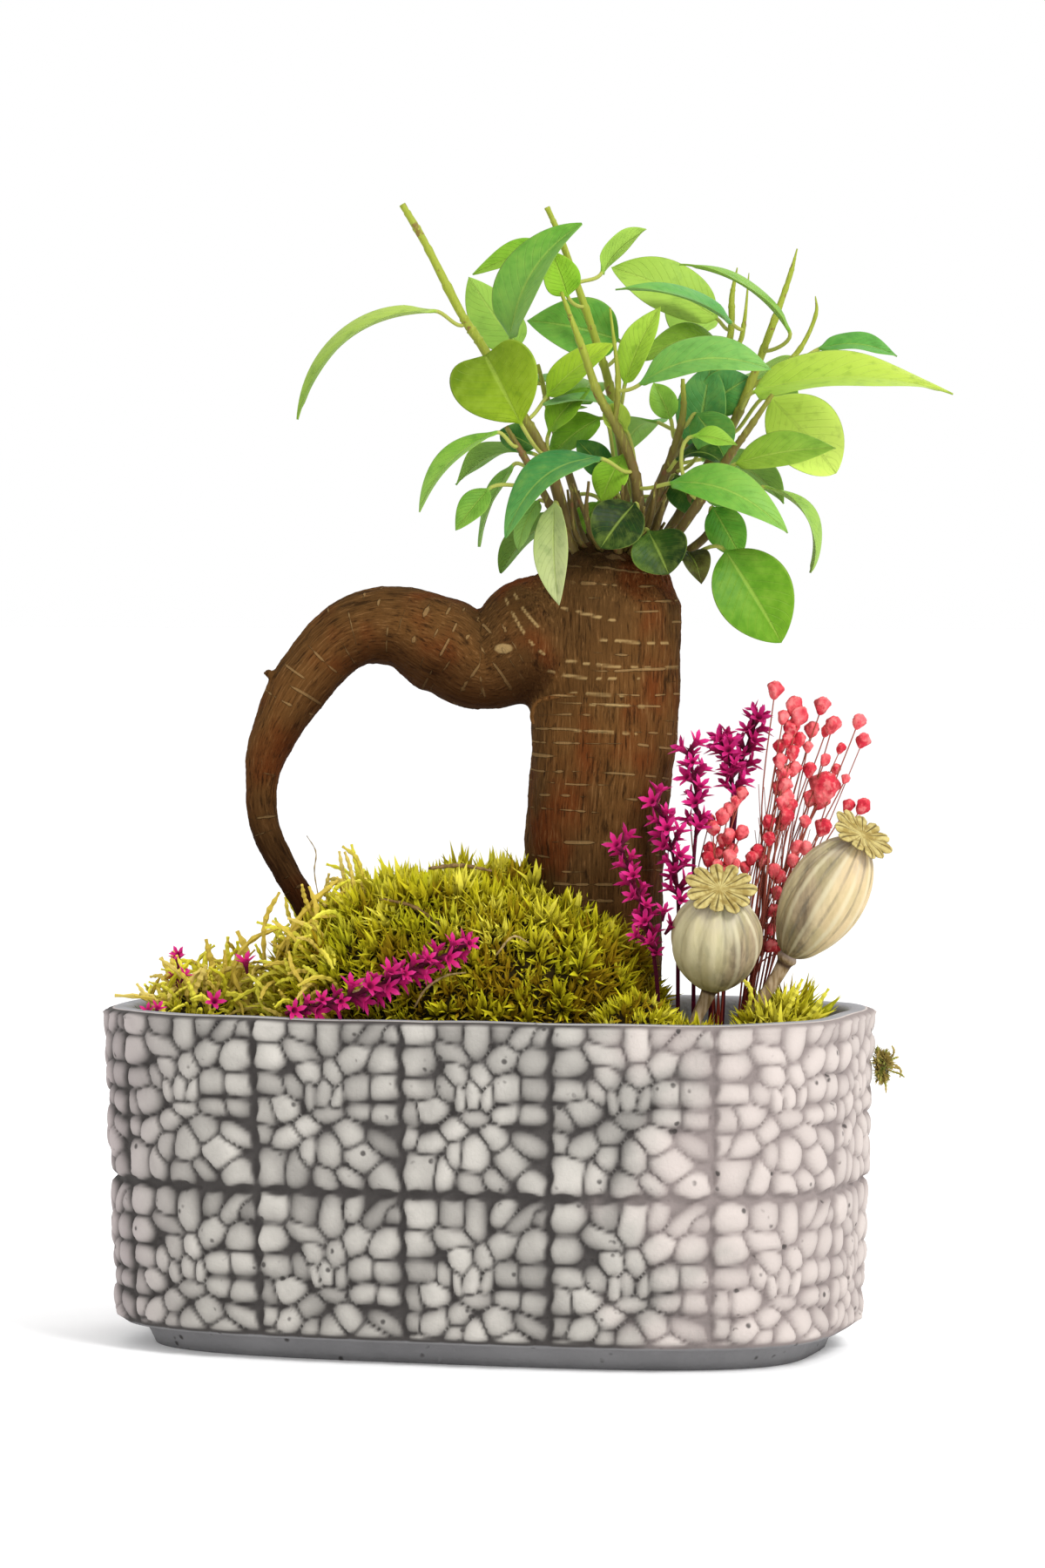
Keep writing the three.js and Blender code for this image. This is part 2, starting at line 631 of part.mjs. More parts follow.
const cutters = [
  ...[TRUNK, ARCH].map((limb) => inPlanter(limbGeometry(limb, GAP))),
  ...Object.values(SPRIGS).map((sprig) => inPlanter(geometryOf(sprigSolid(sprig, 1.3 * GAP)))),
  ...Object.values(SPRAYS).map((spray) => inPlanter(sprayStem(spray, GAP))),
  ...Object.values(POPPIES).map((poppy) => inPlanter(geometryOf(poppySolid(poppy, GAP)))),
];

function clearOfPlant(solid) {
  return geometryOf(largestOf(cutters.reduce((left, cutter) => left.subtract(cutter), solid)));
}

group.add(piece('planter', geometryOf(planter()), cement));
group.add(piece('soil', clearOfPlant(solidOf(soilBlock())), earth));
for (const [name, dome] of Object.entries(MOSS)) {
  group.add(piece(name, clearOfPlant(solidOf(mossDome(dome))), mossGreen));
}
group.add(piece('moss_crumb', crumbGeometry(), mossGreen));

const trunkLimbs = [TRUNK, ARCH, DEAD_STUB].map((limb) => limbGeometry(limb));
plant.add(piece('trunk', geometryOf(joined(trunkLimbs)), bark));
for (const [name, shoot] of Object.entries(SHOOTS)) {
  plant.add(piece(`shoot_${name}`, geometryOf(shootSolid(shoot)), greenBark));
}
LEAVES.forEach((row, index) => {
  const name = `leaf_${String(index + 1).padStart(2, '0')}`;
  plant.add(piece(name, geometryOf(solidOf(leafGeometry(row))), leafGreen));
});
for (const [name, poppy] of Object.entries(POPPIES)) {
  plant.add(piece(name, geometryOf(poppySolid(poppy)), dryPod));
}
for (const [name, sprig] of Object.entries(SPRIGS)) {
  plant.add(piece(name, geometryOf(sprigSolid(sprig)), magenta));
}
for (const [name, spray] of Object.entries(SPRAYS)) {
  plant.add(piece(name, geometryOf(spraySolid(spray)), coral));
}

export default group;
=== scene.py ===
import bmesh
import bpy
import numpy as np
from mathutils import Matrix, Vector


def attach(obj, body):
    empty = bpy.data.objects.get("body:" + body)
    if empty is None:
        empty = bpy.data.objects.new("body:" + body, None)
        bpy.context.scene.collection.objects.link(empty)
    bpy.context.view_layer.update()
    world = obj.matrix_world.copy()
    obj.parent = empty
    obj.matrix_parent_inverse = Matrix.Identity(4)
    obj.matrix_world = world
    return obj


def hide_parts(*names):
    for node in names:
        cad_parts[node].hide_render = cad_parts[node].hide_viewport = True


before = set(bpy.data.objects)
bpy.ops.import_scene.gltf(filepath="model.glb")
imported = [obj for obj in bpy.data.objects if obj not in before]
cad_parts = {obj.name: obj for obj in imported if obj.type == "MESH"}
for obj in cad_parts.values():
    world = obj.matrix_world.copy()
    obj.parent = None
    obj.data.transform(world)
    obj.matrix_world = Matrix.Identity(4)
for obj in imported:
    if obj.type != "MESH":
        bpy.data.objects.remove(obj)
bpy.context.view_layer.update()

# View
# The photograph's view, with a long lens at the height of the trunk's top and 16 degrees
# to the right of the planter's front. Whites stay white, as in a bright studio.

VIEW_FROM = (0.5058, -1.7267, 0.2355)
VIEW_TO = (0.00994, 0.00254, 0.1743)
LENS_LENGTH = 132.7
FILM_HEIGHT = 36


def put_in(name, data, place=(0, 0, 0), aim=None):
    """A new object in the scene, turned to look at aim where that is given."""
    made = bpy.data.objects.new(name, data)
    made.location = place
    if aim:
        made.rotation_euler = (Vector(aim) - Vector(place)).to_track_quat("-Z", "Y").to_euler()
    bpy.context.scene.collection.objects.link(made)
    return made


lens = bpy.data.cameras.new("view")
lens.lens = LENS_LENGTH
lens.sensor_fit = "VERTICAL"
lens.sensor_height = FILM_HEIGHT
bpy.context.scene.camera = put_in("view", lens, VIEW_FROM, VIEW_TO)
bpy.context.scene.view_settings.view_transform = "Standard"

# Planter
# One cement casting, oblong with large round corners and a smooth low foot. Its wall
# carries two rows of square panels, each with the same flower of pebble-like petals. It
# is cast in a rubber mould. Shade is painted into the grooves and down the petals' sides,
# painted light onto the right end, and a pinker tone with a painted highlight onto the left end.

MM = 0.001
LIGHT_SHARE = 0.84
MERGE_REACH, SHORTEST_EDGE = 2e-6, 1e-7
HALF_LENGTH, HALF_DEPTH = 119, 70
SQUARENESS = 3.3
WALL_COLUMNS = 756
WALL_ROWS = 100
FOOT_PROFILE = ((15, 0), (13.5, 3.5), (12, 6.2), (9.5, 7), (6.5, 7.2))
WALL_FOOT, WALL_TOP = (5, 8.5), (1.6, 103.4)
RIM_PROFILE = (
    (1.9, 104.1), (2.5, 104.7), (3.5, 105), (5.2, 105.1), (7, 105), (8.1, 104.6),
    (8.8, 103.7), (9, 102.6), (9.2, 101), (9.8, 92), (10.3, 80), (12, 18), (14, 14), (18, 12),
)
PANEL_EDGES = (-105.5, -55.7, -8.1, 38.7, 88.5, 138.3)
PANELS_ROUND = 13
PANEL_WIDTH = 46.8
ROW_SEAM = 52.6
ROW_HEARTS = (75.2, 19.6)
PETAL_SPREAD = 1.31
RELIEF = 3.1
GROOVE_DEPTH = 0.9
PETAL_POWER = 2.3
PETAL_SHIFT, PETAL_LEAN_SHIFT = 0.35, 4
PETAL_SIZES, PETAL_HEIGHTS = (0.96, 1.08), (0.8, 1.1)
PETAL_SEED = 11
FAR_OFF = 9.0
SPLIT_WIDTH = 0.34
RELIEF_BOTTOM, RELIEF_TOP = (7.5, 10.0), (103.4, 105.0)
RIM_ROWS_OUTSIDE = 3
PLAN_STATIONS = 2001
DRAIN_PLACES = (-45, 45)
DRAIN_RADIUS = 6
DRAIN_SIDES = 28
FLOOR_LEVEL = 12
PETALS = (
    # across, up, half length, half width, lean, proudness
    (0, 1.2, 5.0, 2.7, 0, 0.80),
    (-4.8, 6.8, 4.4, 1.8, 104, 0.86),
    (-0.8, 7.8, 4.4, 2.4, 92, 0.95),
    (3.9, 7.2, 3.9, 1.9, 78, 0.86),
    (2.0, 14.3, 4.0, 3.2, 95, 0.92),
    (-5.6, 14.3, 4.7, 3.4, 100, 0.95),
    (-7.6, 20.4, 6.4, 3.3, -22, 0.82),
    (-9.9, 9.3, 3.8, 3.1, 120, 0.84),
    (-13.8, 3.2, 4.9, 3.7, 5, 1.0),
    (-18.4, 17.9, 5.0, 4.0, 10, 0.95),
    (-17.8, 9.3, 5.4, 3.3, -8, 0.84),
    (-19.8, 1.6, 3.6, 4.0, 60, 0.72),
    (-6.3, -2.6, 4.5, 3.2, 35, 0.86),
    (-13.4, -6.6, 5.3, 3.3, 28, 0.92),
    (-20.0, -5.8, 3.2, 3.0, 90, 0.80),
    (-17.8, -15.5, 5.8, 5.0, 80, 0.98),
    (-10.0, -16.3, 5.0, 3.3, 85, 0.92),
    (-7.0, -10.2, 4.3, 2.8, 80, 0.80),
    (0.5, -10.2, 5.3, 3.9, 92, 0.96),
    (-1.2, -18.6, 4.7, 3.9, 105, 0.82),
    (6.4, -17.6, 4.3, 2.7, -42, 0.80),
    (6.8, -4.9, 5.3, 3.7, -42, 0.92),
    (12.0, -11.8, 6.2, 4.4, -45, 1.0),
    (17.4, -18.2, 5.5, 4.1, -42, 0.86),
    (17.2, -6.6, 5.8, 2.8, -24, 0.74),
    (10.4, 2.2, 4.8, 2.7, 4, 0.84),
    (18.0, 1.6, 4.7, 2.8, -5, 0.78),
    (10.4, 9.8, 5.0, 3.5, 8, 0.94),
    (17.8, 9.8, 5.0, 3.6, -8, 0.86),
    (8.8, 18.6, 5.4, 3.6, 40, 0.94),
    (17.6, 18.0, 4.6, 4.2, 30, 0.90),
    (15.4, 26.2, 7.0, 2.6, 40, 0.76),
    (20.8, 26.4, 3.0, 4.0, 90, 0.66),
    (0.8, 25.4, 6.4, 3.6, 90, 0.92),
    (-7.8, 27.4, 5.0, 4.0, 90, 0.76),
    (-18.2, 27.2, 5.2, 4.7, 0, 0.98),
    (8.6, 28.2, 4.6, 3.0, 70, 0.80),
)


def tint(red, green, blue):
    """A colour as it looks in this light, 0 to 255, as the linear colour that shaders take."""
    share = np.array((red, green, blue)) / 255
    linear = np.where(share <= 0.04045, share / 12.92, ((share + 0.055) / 1.055) ** 2.4)
    return (*(linear * LIGHT_SHARE), 1)


class Wire:
    """A shader output that Python arithmetic can be done on."""

    def __init__(self, tree, socket):
        self.tree = tree
        self.socket = socket

    def node(self, kind, inputs, output=0, **settings):
        """Adds a node: its settings first, then the values or links of its sockets."""
        made = self.tree.nodes.new("ShaderNode" + kind)
        for setting, value in settings.items():
            setattr(made, setting, value)
        for key, value in dict(inputs).items():
            if isinstance(value, Wire):
                self.tree.links.new(value.socket, made.inputs[key])
            else:
                made.inputs[key].default_value = value
        return Wire(self.tree, made.outputs[output])

    def maths(self, operation, *others):
        return self.node("Math", enumerate((self, *others)), operation=operation)

    def __add__(self, other):
        return self.maths("ADD", other)

    def __sub__(self, other):
        return self.maths("SUBTRACT", other)

    def __rsub__(self, other):
        return self.node("Math", {0: other, 1: self}, operation="SUBTRACT")

    def __mul__(self, other):
        return self.maths("MULTIPLY", other)

    __radd__ = __add__
    __rmul__ = __mul__

    def mark(self, name, output="Fac"):
        """A layer that the mesh carries, as a number, a Vector or a Color."""
        return self.node("Attribute", {}, output, attribute_name=name)

    def axis(self, letter):
        return self.node("SeparateXYZ", {"Vector": self}, letter)

    def rise(self, low, high):
        """0 below low, 1 above high and soft between."""
        sockets = {"Value": self, "From Min": low, "From Max": high}
        return self.node("MapRange", sockets, interpolation_type="SMOOTHSTEP")

    def mix(self, first, second):
        """The first colour where this is 0 and the second where it is 1."""
        return self.node("Mix", {0: self, 6: first, 7: second}, 2, data_type="RGBA")

    def noise(self, scale, detail=3, rough=0.55):
        """Noise on this place, stretched where scale is three numbers per metre."""
        place = self
        if not isinstance(scale, (int, float)):
            place = self.node("Mapping", {"Vector": self, "Scale": scale})
            scale = 1
        return place.node(
            "TexNoise", {"Vector": place, "Scale": scale, "Detail": detail, "Roughness": rough}
        )


def finish(name, **fixed):
    """A new material with plain sockets set, and its object coordinates as a Wire."""
    material = bpy.data.materials.new(name)
    material.use_nodes = True
    tree = material.node_tree
    for socket, value in fixed.items():
        tree.nodes["Principled BSDF"].inputs[socket.replace("_", " ")].default_value = value
    return material, Wire(tree, None).node("TexCoord", {}, "Object")


def lay(material, colour=None, roughness=None, height=None, depth=0.0002):
    """Links a finish's patterns to its shader; height is raised by depth metres at 1."""
    tree = material.node_tree
    shader = tree.nodes["Principled BSDF"]
    if colour:
        tree.links.new(colour.socket, shader.inputs["Base Color"])
    if roughness:
        tree.links.new(roughness.socket, shader.inputs["Roughness"])
    if height:
        raised = height.node("Bump", {"Height": height, "Distance": depth, "Strength": 1})
        tree.links.new(raised.socket, shader.inputs["Normal"])


def sheet_of_quads(columns, rows, form, **marks):
    """A grid of quads laid on form(u, v), which maps arrays from 0 to 1 to places in metres.
    Each mark is a function of u and v that becomes a layer on the vertices."""
    shape = bmesh.new()
    bmesh.ops.create_grid(shape, x_segments=columns, y_segments=rows, size=0.5)
    flat = np.array([vert.co for vert in shape.verts])
    u, v = flat[:, 0] + 0.5, flat[:, 1] + 0.5
    places = form(u, v)
    for mark, value_of in marks.items():
        values = value_of(u, v)
        layers = shape.verts.layers.float_vector if values.ndim == 2 else shape.verts.layers.float
        layer = layers.new(mark)
        for vert, value in zip(shape.verts, values.tolist()):
            vert[layer] = value
    for vert, place in zip(shape.verts, places.tolist()):
        vert.co = place
    return shape


def row_at(v, rows):
    """Which of a sheet's rows each v from 0 to 1 is."""
    return np.rint(v * rows).astype(int)


def close_up(shape, outward=True):
    """Merges seams and poles, and turns the faces outwards."""
    bmesh.ops.remove_doubles(shape, verts=shape.verts, dist=MERGE_REACH)
    bmesh.ops.dissolve_degenerate(shape, edges=shape.edges, dist=SHORTEST_EDGE)
    if outward:
        bmesh.ops.recalc_face_normals(shape, faces=shape.faces)
    return shape


def mesh_of(name, shape):
    """A shape's mesh. The shape is used up."""
    mesh = bpy.data.meshes.new(name)
    shape.to_mesh(mesh)
    shape.free()
    return mesh


def set_down(name, shape, material, slot, *nodes, smooth=True):
    """Makes a named piece from a shape, on the one body, for the CAD nodes it replaces."""
    mesh = mesh_of(name, shape)
    mesh.materials.append(material)
    mesh.polygons.foreach_set("use_smooth", [smooth] * len(mesh.polygons))
    piece = put_in(name, mesh)
    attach(piece, "root")
    if nodes:
        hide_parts(*nodes)
    return piece


def soft_step(values, low, high):
    share = np.clip((values - low) / (high - low), 0, 1)
    return share * share * (3 - 2 * share)


def wall_plan(turn, inset):
    """The planter's plan at an inset, at turns counted from its right end."""
    power = 2 / SQUARENESS
    x = np.sign(np.cos(turn)) * np.abs(np.cos(turn)) ** power * (HALF_LENGTH - inset)
    y = np.sign(np.sin(turn)) * np.abs(np.sin(turn)) ** power * (HALF_DEPTH - inset)
    return x, y


def wall_turns(columns):
    """Evenly spaced columns round the wall: their turn, their run from the front middle
    in millimetres, and the way the wall faces there."""
    turns = np.linspace(-0.5, 1.5, PLAN_STATIONS) * np.pi
    x, y = wall_plan(turns, WALL_TOP[0])
    run = np.concatenate(([0], np.cumsum(np.hypot(np.diff(x), np.diff(y)))))
    wanted = columns * run[-1]
    turn = np.interp(wanted, run, turns)
    middle_x, middle_y = np.interp(wanted, run, x), np.interp(wanted, run, y)
    facing_x = np.sign(middle_x) * np.abs(middle_x / HALF_LENGTH) ** (SQUARENESS - 1) / HALF_LENGTH
    facing_y = np.sign(middle_y) * np.abs(middle_y / HALF_DEPTH) ** (SQUARENESS - 1) / HALF_DEPTH
    size = np.hypot(facing_x, facing_y)
    return turn, wanted, run[-1], facing_x / size, facing_y / size


def petal_height(run, z, length_round):
    """How proud the relief stands, 0 to 1, at places along the wall and up it."""
    draw = np.random.RandomState(PETAL_SEED)
    hidden_panels = PANELS_ROUND - len(PANEL_EDGES) + 1
    rest = np.linspace(PANEL_EDGES[-1], PANEL_EDGES[0] + length_round, hidden_panels + 1)
    edges = np.concatenate((PANEL_EDGES, rest[1:]))
    run = np.where(run > edges[-1], run - length_round, run)
    run = np.where(run < edges[0], run + length_round, run)
    height = np.zeros_like(run)
    waver = 0.5 * np.sin(run * 0.31 + z * 0.17) + 0.4 * np.sin(z * 0.37 - run * 0.12)
    for low, high in zip(edges[:-1], edges[1:]):
        for heart in ROW_HEARTS:
            upper = z > ROW_SEAM
            chosen = (run > low) & (run < high) & (upper == (heart > ROW_SEAM))
            stretch = (high - low) / PANEL_WIDTH
            across = (run[chosen] - (low + high) / 2) / stretch + waver[chosen] * 0.6
            up = z[chosen] - heart + waver[chosen] * 0.5
            nearest, second = np.full((2, len(across)), FAR_OFF)
            crest = np.zeros_like(across)
            for x, y, half_length, half_width, lean, proud in PETALS:
                x, y = x + draw.normal(0, PETAL_SHIFT), y + draw.normal(0, PETAL_SHIFT)
                lean = np.radians(lean + draw.normal(0, PETAL_LEAN_SHIFT))
                half_length *= draw.uniform(*PETAL_SIZES)
                half_width *= draw.uniform(*PETAL_SIZES)
                proud *= draw.uniform(*PETAL_HEIGHTS)
                along = ((across - x) * np.cos(lean) + (up - y) * np.sin(lean)) / half_length
                aside = ((up - y) * np.cos(lean) - (across - x) * np.sin(lean)) / half_width
                far = np.abs(along) ** PETAL_POWER + np.abs(aside) ** PETAL_POWER
                far = far ** (1 / PETAL_POWER)
                crest = np.where(far < nearest, proud, crest)
                second = np.minimum(second, np.maximum(far, nearest))
                nearest = np.minimum(nearest, far)
            dome = np.clip(1 - (nearest / PETAL_SPREAD) ** 2, 0, 1) ** 0.55
            split = 0.5 + 0.5 * soft_step(second - nearest, 0.0, SPLIT_WIDTH)
            reach = (high - low) / 2 - np.abs(run[chosen] - (low + high) / 2)
            seam = soft_step(reach + 0.6 * np.sin(z[chosen] * 0.7 + low), -0.2, 1.6)
            height[chosen] = crest * dome * split * seam
    height *= soft_step(np.abs(z - ROW_SEAM) + 0.6 * np.sin(run * 0.55), 0.2, 1.8)
    return height * soft_step(z, *RELIEF_BOTTOM) * (1 - soft_step(z, *RELIEF_TOP))


wall_share = np.linspace(0, 1, WALL_ROWS)[:, None]
wall_profile = np.array(WALL_FOOT) * (1 - wall_share) + np.array(WALL_TOP) * wall_share
planter_profile = np.concatenate((FOOT_PROFILE, wall_profile, RIM_PROFILE))
planter_rows = len(planter_profile) - 1
outer_rows = len(FOOT_PROFILE) + WALL_ROWS + RIM_ROWS_OUTSIDE


def planter_place(u, v):
    row = row_at(v, planter_rows)
    inset, z = planter_profile[row].T
    turn, run, length_round, facing_x, facing_y = wall_turns(u)
    x, y = wall_plan(turn, inset)
    on_wall = (row >= len(FOOT_PROFILE)) & (row < outer_rows)
    proud = np.where(on_wall, petal_height(run, z, length_round), 0)
    lift = np.where(on_wall, proud * RELIEF - GROOVE_DEPTH * soft_step(104.2 - z, 0, 1.5), 0)
    uneven = 0.25 * np.sin(run * 0.09) * np.sin(run * 0.043 + 1) * (z > 60)
    return np.stack((x + facing_x * lift, y + facing_y * lift, z + uneven), 1) * MM


def planter_relief(u, v):
    """The mark that colours the casting: 0 in the grooves, 1 on the petals, under 0 on the
    smooth foot and over 1 on the rim and the inside."""
    row = row_at(v, planter_rows)
    _, run, length_round, _, _ = wall_turns(u)
    proud = petal_height(run, planter_profile[row][:, 1], length_round)
    proud = np.where(row >= outer_rows - 1, 2, proud)
    return np.where(row < len(FOOT_PROFILE), -1, proud)


casting = sheet_of_quads(WALL_COLUMNS, planter_rows, planter_place, relief=planter_relief)
close_up(casting, outward=False)
drains = {}
for level in (0, FLOOR_LEVEL):
    rim = [edge for edge in casting.edges if edge.is_boundary]
    rim = [edge for edge in rim if abs(edge.verts[0].co.z / MM - level) < 0.01]
    circles = []
    for x in DRAIN_PLACES:
        place = Matrix.Translation((x * MM, 0, level * MM))
        size = {"segments": DRAIN_SIDES, "radius": DRAIN_RADIUS * MM}
        made = bmesh.ops.create_circle(casting, matrix=place, **size)
        circles.append({edge for vert in made["verts"] for edge in vert.link_edges})
    drains[level] = circles
    loops = rim + [edge for circle in circles for edge in circle]
    bmesh.ops.triangle_fill(casting, edges=loops, use_beauty=True)
for lower, upper in zip(*drains.values()):
    bmesh.ops.bridge_loops(casting, edges=list(lower | upper))
bmesh.ops.recalc_face_normals(casting, faces=casting.faces)

cement, place = finish("cast_cement", Specular_IOR_Level=0.3)
relief = place.mark("relief")
cloud = place.noise(45, 4)
grain = place.noise(900, 3)
specks = place.node("TexVoronoi", {"Vector": place, "Scale": 260})
pit = (1 - specks.rise(0.12, 0.3)) * place.noise(120, 2).rise(0.56, 0.64)
# painted shade: the grooves and the petals' lower sides are darker the lower the relief lies
painted_groove_shade = relief.rise(0.14, 0.98) * (0.82 + 0.3 * cloud)
end_to_end = place.axis("X")
# painted light: the right end and its grooves are lighter, where the main lamp falls
painted_light_right_end = (end_to_end + 0.1 * cloud).rise(0.1, 0.145)
petals = cloud.rise(0.3, 0.7).mix(tint(176, 172, 165), tint(204, 199, 191))
petals = painted_light_right_end.mix(petals, tint(206, 195, 189))
# the left end: a pinker tone, lighter as a painted highlight
petals = (1 - end_to_end.rise(-0.118, -0.07)).mix(petals, tint(190, 178, 177))
grooves = painted_light_right_end.mix(tint(72, 68, 66), tint(146, 135, 132))
colour = painted_groove_shade.mix(grooves, petals)
rim = relief.rise(1.2, 1.8)
colour = rim.mix(colour, cloud.mix(tint(140, 140, 144), tint(172, 172, 176)))
inside = rim * (1 - place.axis("Z").rise(0.1, 0.1045))
colour = inside.mix(colour, cloud.mix(tint(110, 112, 118), tint(150, 152, 160)))
colour = (1 - relief.rise(-0.8, -0.2)).mix(colour, cloud.mix(tint(118, 117, 119), tint(156, 155, 156)))
# dark pits: small holes with their shade painted in
colour = (pit * 0.85).mix(colour, tint(62, 58, 56))
lay(cement, colour, 0.78 + 0.14 * grain, cloud + 0.8 * grain - pit, 0.0003)
set_down("planter_casting", casting, cement, "planter", "planter")

# Soil
# Dark potting earth pressed into the planter to a finger below its rim. Little of it
# shows between the moss.

earth, place = finish("potting_earth", Roughness=0.95)
crumbs = place.noise(420, 5, 0.7)
colour = crumbs.rise(0.3, 0.7).mix(tint(34, 25, 18), tint(86, 66, 48))
lay(earth, colour, height=crumbs, depth=0.0015)
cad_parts["soil"].data.materials.clear()
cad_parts["soil"].data.materials.append(earth)

# Trunk
# The thick grey-brown trunk with the aerial root that leaves its shoulder, arches to the
# left and comes down into the moss. It grew as one piece. Fine fissures run along the
# bark, and pale dashes of corky pores lie across it.

PLANT_TURN = np.radians(16)
PLANT_SHIFT = 1.2
TRUNK_ROUTE = (
    (33, 1, 52), (32.4, 1, 92), (32.3, 0, 143), (32.4, 0, 160), (34.6, 0, 187), (35.3, 0, 215),
    (35.5, 0, 232), (37, 0, 243), (38, 0, 248),
)
TRUNK_RADII = (10, 19.6, 21, 21.6, 22.6, 23, 22.7, 17.5, 8)
ARCH_ROUTE = (
    (33, 0, 222), (12.7, -1, 219.5), (-3.5, -2, 209.9), (-15, -2, 217.1), (-29.2, -1, 223),
    (-40, 0, 222.6), (-48.6, 1, 218.3), (-59, 2, 206.9), (-65.2, 2, 196.6), (-70.3, 2, 184.9),
    (-72.2, 1, 174.6), (-72.2, 0, 166.5), (-69.5, -1, 156.4), (-64.6, -2, 147.5), (-59, -3, 138),
    (-52, -4, 120), (-46, -4, 98), (-43, -4, 74),
)
ARCH_RADII = (
    16, 20.2, 12.4, 15.9, 12.5, 11.2, 9.8, 9.4, 8.5, 6.8, 5.1, 4.7, 4.3, 4, 3.9, 3.8, 3.4, 2.2,
)
STUB_ROUTE = ((-64, 1, 204), (-67, 0.6, 206.6), (-71, 0, 209.5))
STUB_RADII = (2.2, 1.7, 1.4)
CURL_ROUTE = (
    (26, -21.5, 202.5), (20, -21.5, 202), (13.5, -20.5, 200), (12, -20, 196), (12.4, -19.5, 193.5),
)
CURL_RADII = (0.5, 0.8, 0.75, 0.65, 0.5)
VOXEL = 0.9
ARCH_RUN_FROM = 400
BARK_STATIONS = {"trunk": 160, "arch": 300}
FAR_AWAY = 1e9
CHUNK = 8000
PORE_STATIONS = 300
PORE_REACH = 36
PORE_WIDTH = 0.6
PORE_ROWS = (
    # rows of corky dashes that run round the shoulder, across and up
    ((3.9, 231.9), (6.2, 227.2), (9.5, 221.5), (12.8, 217.3), (16.6, 214.5), (22.2, 213.1),
     (27.9, 212.1), (38.2, 211.2), (44.8, 210.7), (57.1, 210.7)),
    ((24, 203), (31, 202.6), (40, 202.3)), ((30, 199.6), (38, 199.2), (48, 198.8)),
    ((33, 219.5), (44, 218.6), (56, 218.4)), ((25, 191.6), (34, 191), (44, 190.6)),
    ((6.7, 233.3), (9.5, 228.6), (13.8, 223.4)),
    ((17, 209.8), (23.2, 208.3), (29.8, 207.6), (44.8, 207.6)),
    ((21.3, 229.1), (29.8, 227), (39.2, 224.8)),
)
SCAR_PLACE = (3.2, 216.7)
SCAR_HALF_SIZE = (2.9, 1.5)


def planted(places):
    """Millimetres in the plant's own turned frame, as metres in the planter's."""
    x, y, z = np.asarray(places, float).T
    turned_x = x * np.cos(PLANT_TURN) - y * np.sin(PLANT_TURN) + PLANT_SHIFT
    turned_y = x * np.sin(PLANT_TURN) + y * np.cos(PLANT_TURN)
    return np.stack((turned_x, turned_y, z), -1) * MM


def along_route(route, t):
    """Places on a smooth curve through the points of a route, at t from 0 to 1."""
    points = np.asarray(route, float)
    points = np.vstack((2 * points[0] - points[1], points, 2 * points[-1] - points[-2]))
    place = np.clip(t, 0, 1) * (len(points) - 3)
    index = np.minimum(place.astype(int), len(points) - 4)
    w = (place - index)[:, None]
    p0, p1, p2, p3 = (points[index + shift] for shift in range(4))
    gap0, gap1, gap2 = (
        np.sqrt(np.linalg.norm(b - a, axis=1))[:, None] for a, b in ((p0, p1), (p1, p2), (p2, p3))
    )
    leave = ((p1 - p0) / gap0 - (p2 - p0) / (gap0 + gap1) + (p2 - p1) / gap1) * gap1
    enter = ((p2 - p1) / gap1 - (p3 - p1) / (gap1 + gap2) + (p3 - p2) / gap2) * gap1
    cubic = 2 * p1 - 2 * p2 + leave + enter
    square = 3 * p2 - 3 * p1 - 2 * leave - enter
    return p1 + w * (leave + w * (square + w * cubic))


def unit(vectors):
    return vectors / np.linalg.norm(vectors, axis=-1, keepdims=True)


def square_to(tangents, wanted):
    """The directions nearest to wanted that are square to the tangents."""
    wanted = np.broadcast_to(wanted, tangents.shape)
    return unit(wanted - tangents * np.sum(wanted * tangents, 1)[:, None])


def limb_frames(route, steps):
    """Evenly spaced stations on a route: places, tangents, normals and sides."""
    t = np.linspace(0, 1, steps + 1)
    places = along_route(route, t)
    tangents = unit(along_route(route, t + 1e-3) - along_route(route, t - 1e-3))
    normals = [square_to(tangents[:1], (0, -1, 0.01))[0]]
    for tangent in tangents[1:]:
        normals.append(square_to(tangent[None], normals[-1])[0])
    normals = np.array(normals)
    return places, tangents, normals, np.cross(normals, tangents)


def girths(radii, steps):
    """A limb's radius at each of its stations."""
    return np.interp(np.linspace(0, 1, steps + 1), np.linspace(0, 1, len(radii)), radii)


def limb(route, radii, sides, steps, swell=None):
    """A closed round limb along a route, its radius given at each point. swell changes the
    radius by an angle round it and a share along it."""
    places, _, normals, across = limb_frames(route, steps)
    radius = girths(radii, steps)

    def place_of(u, v):
        row = row_at(v, steps + 2)
        closed = (row > 0) & (row < steps + 2)
        station = np.clip(row - 1, 0, steps)
        angle = 2 * np.pi * u
        reach = radius[station] * closed
        if swell:
            reach = reach * swell(angle, station / steps)
        spread = normals[station] * np.cos(angle)[:, None] + across[station] * np.sin(angle)[:, None]
        return planted(places[station] + spread * reach[:, None])

    def share_of(u, v):
        return np.clip(row_at(v, steps + 2) - 1, 0, steps) / steps

    return close_up(sheet_of_quads(sides, steps + 2, place_of, share=share_of))


def add_shape(whole, shape):
    """Adds one shape's faces to another."""
    mesh = mesh_of("part", shape)
    whole.from_mesh(mesh)
    bpy.data.meshes.remove(mesh)


def trunk_swell(angle, share):
    fold = 0.03 * np.sin(3 * angle + 7 * share) + 0.02 * np.sin(5 * angle - 11 * share + 2)
    return 1 + fold + 0.012 * np.sin(2 * angle + 31 * share)


def arch_swell(angle, share):
    return 1 + 0.04 * np.sin(2 * angle + 14 * share) + 0.03 * np.sin(3 * angle - 23 * share)


def vertex_places(mesh):
    """A mesh's vertices as rows of three numbers."""
    flat = np.zeros(len(mesh.vertices) * 3)
    mesh.vertices.foreach_get("co", flat)
    return flat.reshape(-1, 3)


